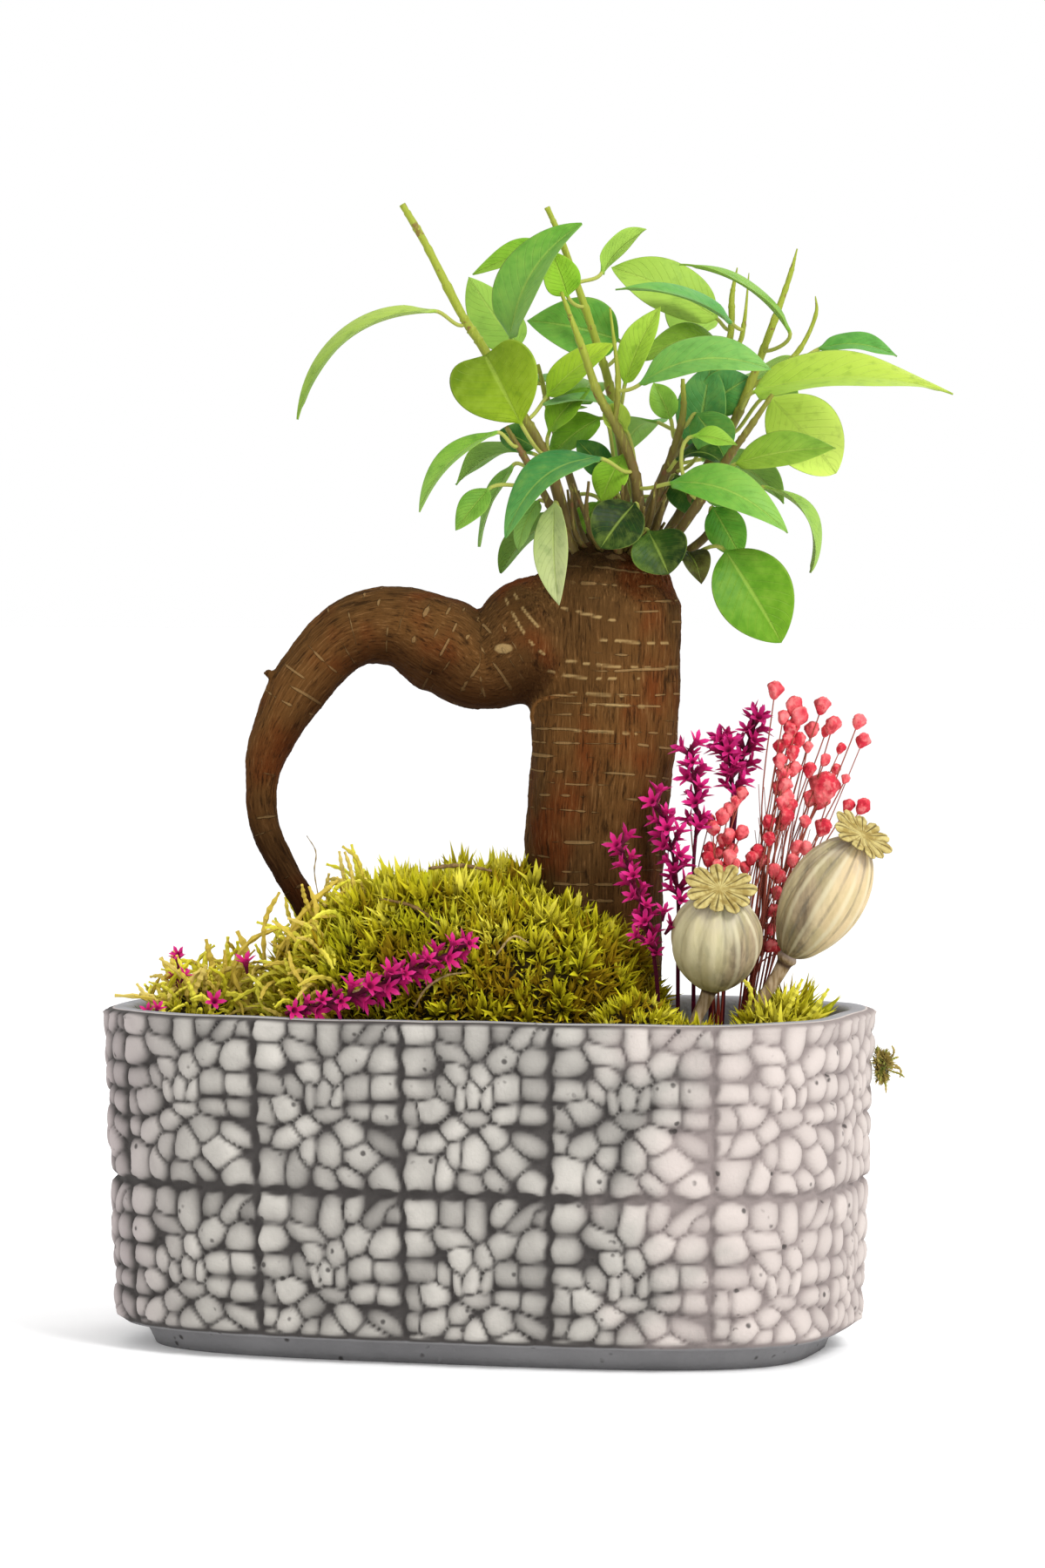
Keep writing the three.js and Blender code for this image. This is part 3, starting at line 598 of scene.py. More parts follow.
def worked(mesh, weights, *tools):
    """A mesh after modifiers, each a type and its settings. Weights make the group crease."""
    block = put_in("trunk_block", mesh)
    if len(weights):
        crease = block.vertex_groups.new(name="crease")
        for index in np.flatnonzero(weights).tolist():
            crease.add([index], weights[index], "REPLACE")
    for kind, settings in tools:
        tool = block.modifiers.new(kind, kind)
        for setting, value in settings.items():
            setattr(tool, setting, value)
    done = bpy.data.meshes.new_from_object(block.evaluated_get(bpy.context.evaluated_depsgraph_get()))
    bpy.data.objects.remove(block)
    return done


def run_along(places):
    """How far along a line each of its places lies."""
    return np.concatenate(([0], np.cumsum(np.linalg.norm(np.diff(places, axis=0), axis=1))))


wood = limb(TRUNK_ROUTE, TRUNK_RADII, 96, 110, trunk_swell)
add_shape(wood, limb(ARCH_ROUTE, ARCH_RADII, 56, 190, arch_swell))
add_shape(wood, limb(STUB_ROUTE, STUB_RADII, 16, 12))
grown = worked(
    mesh_of("trunk_block", wood),
    (),
    ("REMESH", {"mode": "VOXEL", "voxel_size": VOXEL * MM}),
    ("SMOOTH", {"factor": 0.6, "iterations": 9}),
)

vertex_count = len(grown.vertices)
places = vertex_places(grown)
straight = np.zeros((vertex_count, 3))
nearest = np.full(vertex_count, FAR_AWAY)
closeness = []
turn = np.array(Matrix.Rotation(PLANT_TURN, 3, "Z"))
for route, radii, steps, run_from in (
    (TRUNK_ROUTE, TRUNK_RADII, BARK_STATIONS["trunk"], 0),
    (ARCH_ROUTE, ARCH_RADII, BARK_STATIONS["arch"], ARCH_RUN_FROM),
):
    middles, tangents, normals, across = limb_frames(route, steps)
    middles = planted(middles)
    tangents, normals, across = (way @ turn.T for way in (tangents, normals, across))
    run = run_along(middles)
    radius = girths(radii, steps) * MM
    closeness.append(np.zeros(vertex_count))
    for start in range(0, vertex_count, CHUNK):
        part = slice(start, start + CHUNK)
        reach = np.linalg.norm(places[part, None] - middles[None], axis=2)
        station = np.argmin(reach - 0.6 * radius, axis=1)
        far = reach[np.arange(len(station)), station] / radius[station]
        out = places[part] - middles[station]
        along = run[station] + np.sum(out * tangents[station], 1) + run_from * MM
        aside = np.sum(out * normals[station], 1), np.sum(out * across[station], 1)
        closeness[-1][part] = far
        better = far < nearest[part]
        nearest[part] = np.where(better, far, nearest[part])
        laid = np.stack((*aside, along), 1)
        straight[part] = np.where(better[:, None], laid, straight[part])
joint = soft_step(np.maximum(*closeness), 1.6, 1.2)
fill = {"factor": 0.7, "iterations": 70, "vertex_group": "crease"}
grown = worked(grown, joint, ("SMOOTH", fill))
places = vertex_places(grown)
flat_normals = np.zeros(vertex_count * 3)
grown.vertex_normals.foreach_get("vector", flat_normals)
grown_normals = flat_normals.reshape(-1, 3)
x, y, z = straight.T / MM
ripple = np.sin(x * 1.9 + 2.1 * np.sin(z * 0.11)) * np.sin(y * 1.7 + 1.7 * np.sin(z * 0.13 + 1))
rings = np.sin(z * 1.05 + 1.3 * np.sin(x * 0.3) + np.sin(y * 0.21)) ** 9
lumps = np.sin(x * 0.33 + 0.2 * z) * np.sin(y * 0.29 - 0.13 * z + 2)
cut_end = soft_step(places[:, 2] / MM, 234, 242)
cut_end = cut_end * np.sin(places[:, 0] * 900) * np.sin(places[:, 1] * 1100)
raised = (0.14 * ripple + 0.12 * rings + 0.3 * lumps) * (1 - 0.8 * joint) + 0.6 * cut_end
places += grown_normals * (raised * MM)[:, None]
grown.vertices.foreach_set("co", places.ravel())
unturned = places @ turn / MM
front, facing_us = unturned[:, (0, 2)], unturned[:, 1] < 0
scar_x, scar_z = ((front - (SCAR_PLACE + np.array((PLANT_SHIFT, 0)))) / SCAR_HALF_SIZE).T
scar = np.exp(-((scar_x**2 + scar_z**2) ** 2)) * facing_us
for row in PORE_ROWS:
    row = [(x + PLANT_SHIFT, 0, z) for x, z in row]
    line = along_route(row, np.linspace(0, 1, PORE_STATIONS))[:, (0, 2)]
    run = run_along(line)
    near = facing_us & np.all(np.abs(front - line.mean(0)) < PORE_REACH, axis=1)
    near = np.flatnonzero(near)
    gaps = np.linalg.norm(front[near][:, None] - line[None], axis=2)
    station = np.argmin(gaps, axis=1)
    gap = gaps[np.arange(len(near)), station]
    dash = soft_step(np.sin(run[station] * 0.95 + 2 * np.sin(run[station] * 0.37)), -0.6, -0.1)
    scar[near] = np.maximum(scar[near], 0.7 * dash * np.exp(-((gap / PORE_WIDTH) ** 2)))
# painted shade under the arch, on faces that look down
painted_underside_shade = np.clip(0.12 - grown_normals[:, 2], 0, 1) * (straight[:, 2] > 0.39)
for mark, values in (("painted_underside_shade", painted_underside_shade), ("scar", scar), ("joint", joint)):
    grown.attributes.new(mark, "FLOAT", "POINT").data.foreach_set("value", values)
straight_layer = grown.attributes.new("straight", "FLOAT_VECTOR", "POINT")
straight_layer.data.foreach_set("vector", straight.ravel())
wood = bmesh.new()
wood.from_mesh(grown)
bpy.data.meshes.remove(grown)

bark, place = finish("ficus_bark", Specular_IOR_Level=0.03)
laid = place.mark("straight", "Vector")
scar = place.mark("scar")
joint = place.mark("joint")
painted_underside_shade = place.mark("painted_underside_shade")
fibre, flakes = laid.noise((1500, 1500, 120), 4, 0.62), laid.noise((480, 480, 130), 4, 0.65)
fibre = fibre + (place.noise((1500, 1500, 120), 4, 0.62) - fibre) * joint
flakes = flakes + (place.noise((480, 480, 130), 4, 0.65) - flakes) * joint
patches = place.noise(30, 3)
red = place.noise((52, 52, 36), 2)
tall = place.axis("Z")
aside = laid.axis("X")
around = laid.axis("Y")
run = laid.axis("Z")
rows = run * 235 + 1.9 * laid.noise((14, 14, 55), 2)
row = rows.maths("FLOOR")
off_row = (rows - row - 0.5).maths("ABSOLUTE")
along_row = laid.node("CombineXYZ", {"X": aside * 190, "Y": around * 190, "Z": row * 7.31})
stretch_row = laid.node("CombineXYZ", {"X": aside * 34, "Y": around * 34, "Z": row * 3.17})
on_arch = run.rise(0.39, 0.4)
dash = (along_row.noise(1, 1) - 0.07 * on_arch).rise(0.4, 0.54)
dash = dash * (stretch_row.noise(1, 1) - 0.04 * on_arch).rise(0.42, 0.53)
pores = (dash * 0.12 - off_row).rise(0.0, 0.05) * (1 - joint)
colour = patches.rise(0.35, 0.65).mix(tint(84, 58, 30), tint(102, 68, 34))
colour = (red.rise(0.46, 0.7) * 0.7).mix(colour, tint(104, 46, 16))
colour = (fibre.rise(0.52, 0.75) * 0.6).mix(colour, tint(148, 108, 66))
colour = ((1 - fibre.rise(0.28, 0.48)) * 0.85).mix(colour, tint(34, 20, 8))
colour = ((1 - flakes.rise(0.32, 0.46)) * 0.7).mix(colour, tint(34, 21, 9))
colour = (pores * 0.5).mix(colour, tint(166, 134, 88))
colour = (scar.rise(0.2, 0.65) * 0.8).mix(colour, tint(178, 148, 98))
# darker towards the bottom, most on the arch
colour = ((1 - tall.rise(0.125, 0.205)) * (0.25 + 0.65 * on_arch)).mix(colour, tint(28, 12, 3))
# painted shade under the arch
colour = (painted_underside_shade.rise(0, 0.95) * 0.72).mix(colour, tint(40, 16, 5))
colour = ((tall + 0.02 * patches).rise(0.245, 0.254) * 0.6).mix(colour, tint(46, 32, 18))
height = fibre * 0.8 + flakes + pores * 0.8 + scar * 0.6
lay(bark, colour, 0.76 + 0.18 * flakes, height, 0.0008)
set_down("trunk_and_arch", wood, bark, "bark", "trunk")
curl = limb(CURL_ROUTE, CURL_RADII, 10, 40)
straight_layer = curl.verts.layers.float_vector.new("straight")
for vert in curl.verts:
    vert[straight_layer] = vert.co
set_down("curled_rootlet", curl, bark, "bark")

# Shoots
# Young woody shoots that broke from the trunk's cut top, each one grown piece, some with
# a side twig, and thin twigs that fill the crown between them. They are ringed where old
# leaves stood. Two are cut off at their ends.

SHOOTS = {
    "tall_left": (
        ((27, -4, 238), (17, -8, 274), (9, -9, 289), (-4, -11, 311), (-9, -12, 318.5),
         (-21.5, -12, 342.6), (-28, -12, 353.5)),
        (2.1, 1.7, 1.6, 1.5, 1.4, 1.2, 1.05),
    ),
    "tall_middle": (
        ((40, 5, 243), (41, 7, 270), (36, 6, 299), (32.4, 5, 311), (28.6, 4, 322.5), (20.5, 2, 345),
         (16.7, 1, 353.5)),
        (1.7, 1.6, 1.4, 1.3, 1.2, 1, 0.8),
    ),
    "front": (
        ((45, -5, 243), (44, -14, 269), (39, -16, 283), (32.4, -17, 295), (28, -17, 307.6),
         (21, -17, 326.3)),
        (2, 1.7, 1.5, 1.4, 1.2, 0.6),
    ),
    "front twig": (
        ((37.6, -16.3, 286), (38.5, -18.5, 298), (36, -19, 321.4)),
        (0.9, 0.9, 0.3),
    ),
    "tall_right": (
        ((47, 1, 238), (66, 2, 272), (75.6, 2, 288.3), (84.8, 2, 311.4), (92.4, 2, 332.8),
         (94.5, 2, 340.7)),
        (1.9, 1.7, 1.5, 1.2, 0.8, 0.2),
    ),
    "tall_right twig": (
        ((79, 2, 297), (90, 6, 304), (96.2, 8, 310.6), (100.8, 8, 321.4), (100.5, 8, 326.3)),
        (0.9, 0.9, 0.8, 0.6, 0.15),
    ),
    "back_right": (
        ((45, 7, 240), (57, 14, 272), (68, 16, 297), (74.2, 16, 314), (74.8, 16, 327),
         (76.4, 16, 335.6)),
        (1.6, 1.5, 1.3, 1.1, 0.9, 0.2),
    ),
    "back_right twig": (
        ((72, 16, 307), (77, 13, 312), (78.4, 12, 318), (79.9, 12, 333.7)),
        (0.8, 0.8, 0.7, 0.15),
    ),
    "right": (
        ((48, -6, 239), (63, -15, 261), (72.6, -17, 275.6), (78, -18, 283.2), (86, -19, 294.8)),
        (1.6, 1.5, 1.3, 1.1, 0.7),
    ),
    "centre": (
        ((42, 1, 243), (53, -4, 270), (58.7, -8, 288.6), (58.7, -8, 300)),
        (1.5, 1.3, 1.1, 0.6),
    ),
    "low_left": (
        ((29, -8, 240), (18, -16, 260), (10, -18, 275), (4, -18, 285)),
        (1.5, 1.3, 1.1, 0.7),
    ),
    "low_right": (
        ((47, -1, 238), (64, -8, 249.5), (72, -8, 258), (80, -5, 264.5)),
        (1.5, 1.3, 1.1, 0.7),
    ),
    "back_left": (
        ((33, 8, 241), (24, 22, 270), (18, 31, 290), (14, 35, 306)),
        (1.5, 1.4, 1.2, 0.6),
    ),
    "back": (
        ((40, 10, 240), (54, 26, 272), (66, 34, 294), (72, 37, 310)),
        (1.5, 1.4, 1.2, 0.6),
    ),
}
JOINT_SPACING = 9.5
SHOOT_SIDES = 12
YOUNG_TWIGS = 34
CROWN_MIDDLE = (38, 0, 244)
YOUNG_RADII = (1.05, 0.85, 0.4)
TWIG_SEED = 17


def shoot_limb(route, radii):
    length = np.sum(np.linalg.norm(np.diff(np.array(route), axis=0), axis=1))
    joints = length / JOINT_SPACING

    def ringed(angle, share):
        phase = share * joints - np.rint(share * joints)
        ring = np.exp(-((phase / 0.09) ** 2)) - 0.5 * np.exp(-(((phase - 0.12) / 0.08) ** 2))
        return 1 + 0.2 * ring + 0.05 * np.sin(angle * 2 + share * joints * 3)

    return limb(route, radii, SHOOT_SIDES, max(16, int(joints * 9)), ringed)


green_wood, place = finish("green_shoot_bark", Specular_IOR_Level=0.35)
streak = place.noise((900, 900, 160), 3)
brown = (place.axis("Z").rise(0.25, 0.33) + 0.5 * streak - 0.35).rise(0.0, 0.9)
colour = brown.mix(tint(100, 82, 30), tint(150, 162, 44))
colour = (streak.rise(0.55, 0.8) * 0.5).mix(colour, tint(196, 196, 90))
colour = (place.noise(300, 2).rise(0.62, 0.7) * 0.7).mix(colour, tint(120, 74, 42))
lay(green_wood, colour, 0.5 + 0.25 * streak, streak, 0.0003)
for name in [name for name in SHOOTS if " " not in name]:
    stem = shoot_limb(*SHOOTS[name])
    if name + " twig" in SHOOTS:
        add_shape(stem, shoot_limb(*SHOOTS[name + " twig"]))
    set_down("shoot_of_" + name, stem, green_wood, "shoot", "shoot_" + name)

draw = np.random.RandomState(TWIG_SEED)
twiglets = bmesh.new()
twiglets.verts.layers.float.new("share")
for number in range(YOUNG_TWIGS):
    turn = number * 2.4 + draw.uniform(-0.4, 0.4)
    away = np.array((np.cos(turn), np.sin(turn), 0))
    low = np.array(CROWN_MIDDLE) + away * draw.uniform(4, 12)
    high = low + away * draw.uniform(5, 17) + (0, 0, draw.uniform(8, 24))
    bend = (low + high) / 2 + away * draw.uniform(0, 3) + draw.normal(0, 1.2, 3)
    add_shape(twiglets, shoot_limb((low, bend, high), YOUNG_RADII))
set_down("young_twigs", twiglets, green_wood, "shoot")

# Leaves
# Smooth, leathery fig leaves on short stalks, folded a little along the midrib. The upper
# side shines and the lower is paler, and new leaves are bright yellow-green. Each leaf's
# two colours also carry painted light: leaves lit from behind are painted brighter and
# shaded ones darker.

LEAVES = (
    # shoot, height on it, base, tip, width, bow, face, fold, widest place, two screen colours
    # (with painted light: brighter where lit from behind, darker where shaded)
    ("tall_left", 317, (-18, -14, 320.6), (-60, -20, 287), 18, 10.5, (-0.4, -0.3, 0.9), 12, 0.4,
     (176, 208, 96), (140, 186, 70)),
    ("tall_left", 306, (5.5, -12, 312.5), (27.5, -12, 347.5), 22, 6.5, (-0.75, -0.65, 0.3), 18, 0.4,
     (124, 178, 88), (104, 170, 60)),
    ("tall_middle", 342, (16, 6, 341.5), (-6.5, 8, 333), 10, 1, (0.1, -0.8, 0.6), 20, 0.35,
     (126, 188, 50), (140, 190, 60)),
    ("tall_left", 277, (8.5, -20, 286), (-5, -25, 312), 30, 1, (-0.2, -1, 0.1), 22, 0.6,
     (150, 186, 34), (98, 128, 10)),
    ("tall_middle", 323, (23, -2, 326), (18, -6, 339.5), 12, 1, (0, -1, 0.3), 12, 0.4,
     (138, 200, 48), (156, 210, 60)),
    ("tall_middle", 304, (39, 16, 313), (10.5, 17, 319), 21, 3, (0, -1, 0.35), 14, 0.35,
     (92, 162, 58), (112, 176, 74)),
    ("tall_left", 287, (17, -3, 295), (37.5, -4, 311), 13, 2, (-0.4, -0.8, 0.5), 12, 0.4,
     (142, 192, 34), (176, 212, 64)),
    ("tall_middle", 290, (41, -2, 299), (52, -3, 322.5), 12, 2, (-0.5, -0.85, 0.3), 15, 0.4,
     (158, 208, 60), (172, 216, 80)),
    ("back_right", 316, (70, 21, 320), (37, 22, 336), 20, 3, (0, -0.85, 0.5), 12, 0.45,
     (156, 200, 78), (168, 208, 92)),
    ("back_right twig", 316, (74, 7, 318), (38, 3, 328), 14, 4, (0, -0.4, 0.92), 15, 0.35,
     (86, 168, 84), (122, 190, 92)),
    ("back_right", 300, (71.5, 7, 310.5), (47, 2, 306), 14, 5, (0, -0.6, 0.8), 12, 0.45,
     (128, 176, 54), (150, 192, 78)),
    ("front twig", 296, (45.5, -23, 298), (85, -30, 302), 19, 7, (0, -0.65, 0.76), 12, 0.45,
     (104, 172, 74), (122, 184, 98)),
    ("tall_right", 291, (81, -8, 296), (142, -12, 295), 25, 6, (0, -0.55, 0.83), 14, 0.3,
     (160, 204, 70), (190, 218, 90)),
    ("tall_right twig", 308, (102, 9, 310), (126, 8, 307.5), 11, 3, (0, -0.5, 0.86), 12, 0.4,
     (86, 164, 66), (98, 170, 82)),
    ("tall_right", 309, (91.5, -8, 315), (57.5, -13, 335), 13, 5, (0.55, -0.3, 0.8), 12, 0.35,
     (116, 172, 52), (132, 184, 66)),
    ("tall_right", 284, (87, 10, 294.5), (107, 8, 271), 25, 2, (0.15, -1, 0.2), 10, 0.5,
     (208, 250, 104), (224, 255, 128)),
    ("right", 272, (75, -24, 273.5), (105, -28, 278), 15, 2, (0, -0.75, 0.66), 12, 0.4,
     (132, 172, 52), (120, 166, 60)),
    ("front", 266, (55, -23, 267.5), (90, -34, 252), 17, 7, (0.15, -0.75, 0.66), 12, 0.4,
     (88, 160, 52), (136, 192, 90)),
    ("low_right", 261, (84.5, -9, 266.5), (98, -10, 240), 13, 7.5, (0.85, -0.25, 0.5), 14, 0.55,
     (140, 190, 74), (156, 196, 98)),
    ("low_right", 254, (68, -11, 260), (76.5, -12, 245), 13, 1, (0, -1, 0.15), 10, 0.45,
     (70, 142, 38), (92, 160, 46)),
    ("low_right", 246.5, (71.5, -24, 246.5), (88.5, -26, 218.5), 25, 2, (0.1, -1, 0.15), 12, 0.45,
     (84, 142, 34), (106, 160, 30)),
    ("front", 257, (43.5, -21, 261), (33, -28, 247.5), 17, 2, (-0.1, -1, 0.3), 8, 0.5,
     (8, 32, 0), (20, 50, 0)),
    ("front", 252.5, (48, -20, 252.5), (54, -25, 239.5), 19, 1, (0, -1, 0.35), 20, 0.5,
     (52, 90, 24), (10, 36, 0)),
    ("low_left", 256, (19, -24, 261), (20.3, -28, 230), 12, 2, (-0.5, -0.85, 0.1), 18, 0.4,
     (166, 190, 124), (196, 208, 160)),
    ("front", 271.5, (32.5, -25, 275), (4, -35, 250.5), 17, 8.5, (-0.35, -0.6, 0.72), 12, 0.4,
     (48, 124, 66), (96, 166, 88)),
    ("low_left", 279, (1, -22, 283), (-22.5, -28, 258.5), 13, 4.5, (-0.55, -0.45, 0.7), 14, 0.45,
     (116, 176, 50), (150, 200, 96)),
    ("low_left", 268, (-1.5, -20, 265.5), (-11.5, -22, 253), 9, 1, (-0.3, -1, 0.2), 12, 0.4,
     (106, 164, 62), (130, 182, 74)),
    ("low_left", 273, (6, -11, 273), (-4.4, -9, 248), 9, 2, (-0.85, -0.45, 0.2), 14, 0.4,
     (112, 166, 70), (140, 188, 98)),
    ("back_left", 294, (15, 42, 301), (2, 66, 291), 19, 6, (-0.2, 0.5, 0.85), 12, 0.4,
     (96, 164, 60), (120, 182, 70)),
    ("back", 296, (77, 44, 302), (96, 62, 289), 19, 6, (0.3, 0.4, 0.85), 12, 0.4,
     (104, 170, 58), (128, 186, 72)),
)
INNER_LEAVES = (
    # small or hidden leaves that the CAD doesn't have
    ("front", 262, (40, -12, 276), (33.5, -13, 262), 12, 1.5, (-0.3, -1, 0.3), 10, 0.5,
     (120, 176, 44), (140, 190, 50)),
    ("front", 271, (41, -13, 284), (34.5, -14, 291.5), 9, 1, (0, -1, 0.4), 10, 0.5,
     (172, 208, 74), (176, 208, 84)),
    ("tall_middle", 272, (33, 2, 288), (17, 4, 275), 13, 2, (-0.5, -0.8, 0.4), 14, 0.4,
     (118, 172, 40), (92, 148, 40)),
    ("tall_left", 262, (17.5, -2, 284), (30, 0, 297), 11, 2, (-0.5, -0.8, 0.4), 14, 0.4,
     (128, 182, 38), (108, 160, 44)),
    ("tall_middle", 286, (38, -1, 292), (15.5, -4, 292), 8, 2, (0, -0.5, 0.9), 16, 0.4,
     (104, 168, 92), (132, 186, 116)),
    ("centre", 272, (57, -9, 275), (72, -10, 272.5), 13, 4, (0, -0.5, 0.85), 12, 0.5,
     (22, 62, 12), (36, 80, 20)),
    ("centre", 285, (63, -6, 289), (72, -5, 275), 15, 2, (0.2, -1, 0.2), 14, 0.45,
     (66, 128, 52), (88, 150, 66)),
    ("centre", 281, (55, -2, 288), (50, 0, 299), 9, 1, (0, -1, 0.2), 12, 0.4,
     (120, 178, 64), (140, 192, 74)),
    ("back_right", 285, (66, 8, 292), (80, 6, 301), 15, 2, (0.2, -1, 0.2), 12, 0.45,
     (72, 146, 66), (84, 156, 88)),
    ("back_right", 272, (64, 8, 278), (68, 6, 305), 17, 2, (-0.3, -1, 0.1), 12, 0.45,
     (66, 138, 72), (92, 160, 92)),
    ("right", 262, (62, -21, 282), (75, -23, 279), 7, 1, (0, -0.7, 0.7), 18, 0.4,
     (132, 188, 60), (150, 200, 74)),
    ("back_right", 262, (57, 3, 270), (63, 1, 258), 13, 1.5, (0.1, -1, 0.3), 12, 0.45,
     (30, 74, 20), (46, 96, 26)),
    ("low_left", 262, (14, -13, 262), (8, -13, 247), 9, 2, (-0.5, -0.8, 0.3), 14, 0.4,
     (120, 176, 84), (146, 196, 104)),
    ("tall_middle", 262, (36, -3, 270), (26, -4, 281), 10, 1.5, (0, -1, 0.3), 12, 0.45,
     (40, 98, 36), (54, 116, 44)),
    ("tall_left", 270, (13, -3, 279), (2, 1, 284), 10, 1.5, (-0.3, -0.9, 0.4), 12, 0.45,
     (60, 122, 50), (44, 100, 44)),
    ("back_left", 264, (33, 14, 262), (22, 12, 250), 8, 1.5, (0.2, -1, 0.3), 12, 0.5,
     (112, 168, 44), (132, 184, 60)),
    ("tall_right", 262, (64, 3, 270), (75, 7, 262), 14, 2, (0.3, -0.9, 0.3), 12, 0.45,
     (70, 136, 54), (88, 152, 64)),
    ("back_left", 284, (26, 40, 292), (34, 58, 300), 16, 4, (0.3, 0.5, 0.8), 12, 0.4,
     (110, 172, 60), (132, 186, 70)),
    ("back_left", 274, (12, 34, 278), (-12, 42, 268), 16, 5, (-0.4, 0.4, 0.8), 12, 0.4,
     (82, 152, 52), (112, 176, 66)),
    ("back_left", 300, (8, 36, 312), (-8, 40, 334), 17, 3, (-0.5, 0.75, 0.4), 14, 0.4,
     (126, 186, 64), (144, 198, 74)),
    ("back", 284, (52, 42, 288), (40, 64, 276), 18, 5, (-0.2, 0.5, 0.85), 12, 0.4,
     (92, 160, 56), (118, 180, 66)),
    ("back", 276, (66, 32, 276), (92, 38, 262), 18, 5, (0.3, 0.4, 0.85), 12, 0.4,
     (78, 148, 50), (106, 172, 62)),
    ("back", 304, (66, 44, 316), (58, 58, 338), 17, 3, (-0.2, 0.85, 0.4), 14, 0.4,
     (140, 196, 70), (156, 206, 80)),
    ("back", 264, (44, 28, 264), (38, 50, 248), 17, 4, (0, 0.5, 0.85), 12, 0.45,
     (64, 132, 46), (90, 156, 54)),
    ("back_left", 258, (22, 26, 258), (2, 36, 240), 15, 4, (-0.3, 0.5, 0.8), 12, 0.45,
     (74, 142, 50), (100, 168, 60)),
    ("back_right", 290, (78, 24, 296), (98, 34, 306), 16, 4, (0.2, 0.3, 0.9), 12, 0.4,
     (116, 176, 60), (136, 190, 72)),
    ("tall_middle", 330, (34, 12, 334), (48, 22, 348), 12, 2, (0.2, 0.6, 0.7), 14, 0.4,
     (150, 204, 70), (164, 212, 84)),
    ("low_right", 246, (60, -17, 246), (64, -24, 236.5), 10, 2.5, (0.3, -1, 0.1), 26, 0.4,
     (34, 44, 12), (74, 66, 28)),
)
STALK_ROWS = 9
BLADE_ROWS = 26
STALK_HALF = 0.62
BLADE_THICKNESS = 0.5
TIP_HALF = 0.05
LEAF_SHARE = (0.9, 0.85, 0.72)
LEAF_COLUMNS = 20
LEAF_SEED = 100
LIMB_STATIONS = 801
NOTCHES = {
    # leaf number and how deep its tip is drawn in
    4: 6.0,
}


def bezier(points, t):
    """Places along a quadratic or cubic curve, by repeated halves."""
    points = [np.asarray(point, float)[None] for point in points]
    t = t[:, None]
    while len(points) > 1:
        points = [a * (1 - t) + b * t for a, b in zip(points, points[1:])]
    return points[0]


def on_limb(route, radii, height):
    """Where a rising limb passes a height: the place, its way there and its radius."""
    t = np.linspace(0, 1, LIMB_STATIONS)
    places = along_route(route, t)
    station = np.argmax(places[:, 2] >= height)
    way = unit(places[station + 1] - places[station - 1])
    radius = np.interp(t[station], np.linspace(0, 1, len(radii)), radii)
    return places[station], way, radius


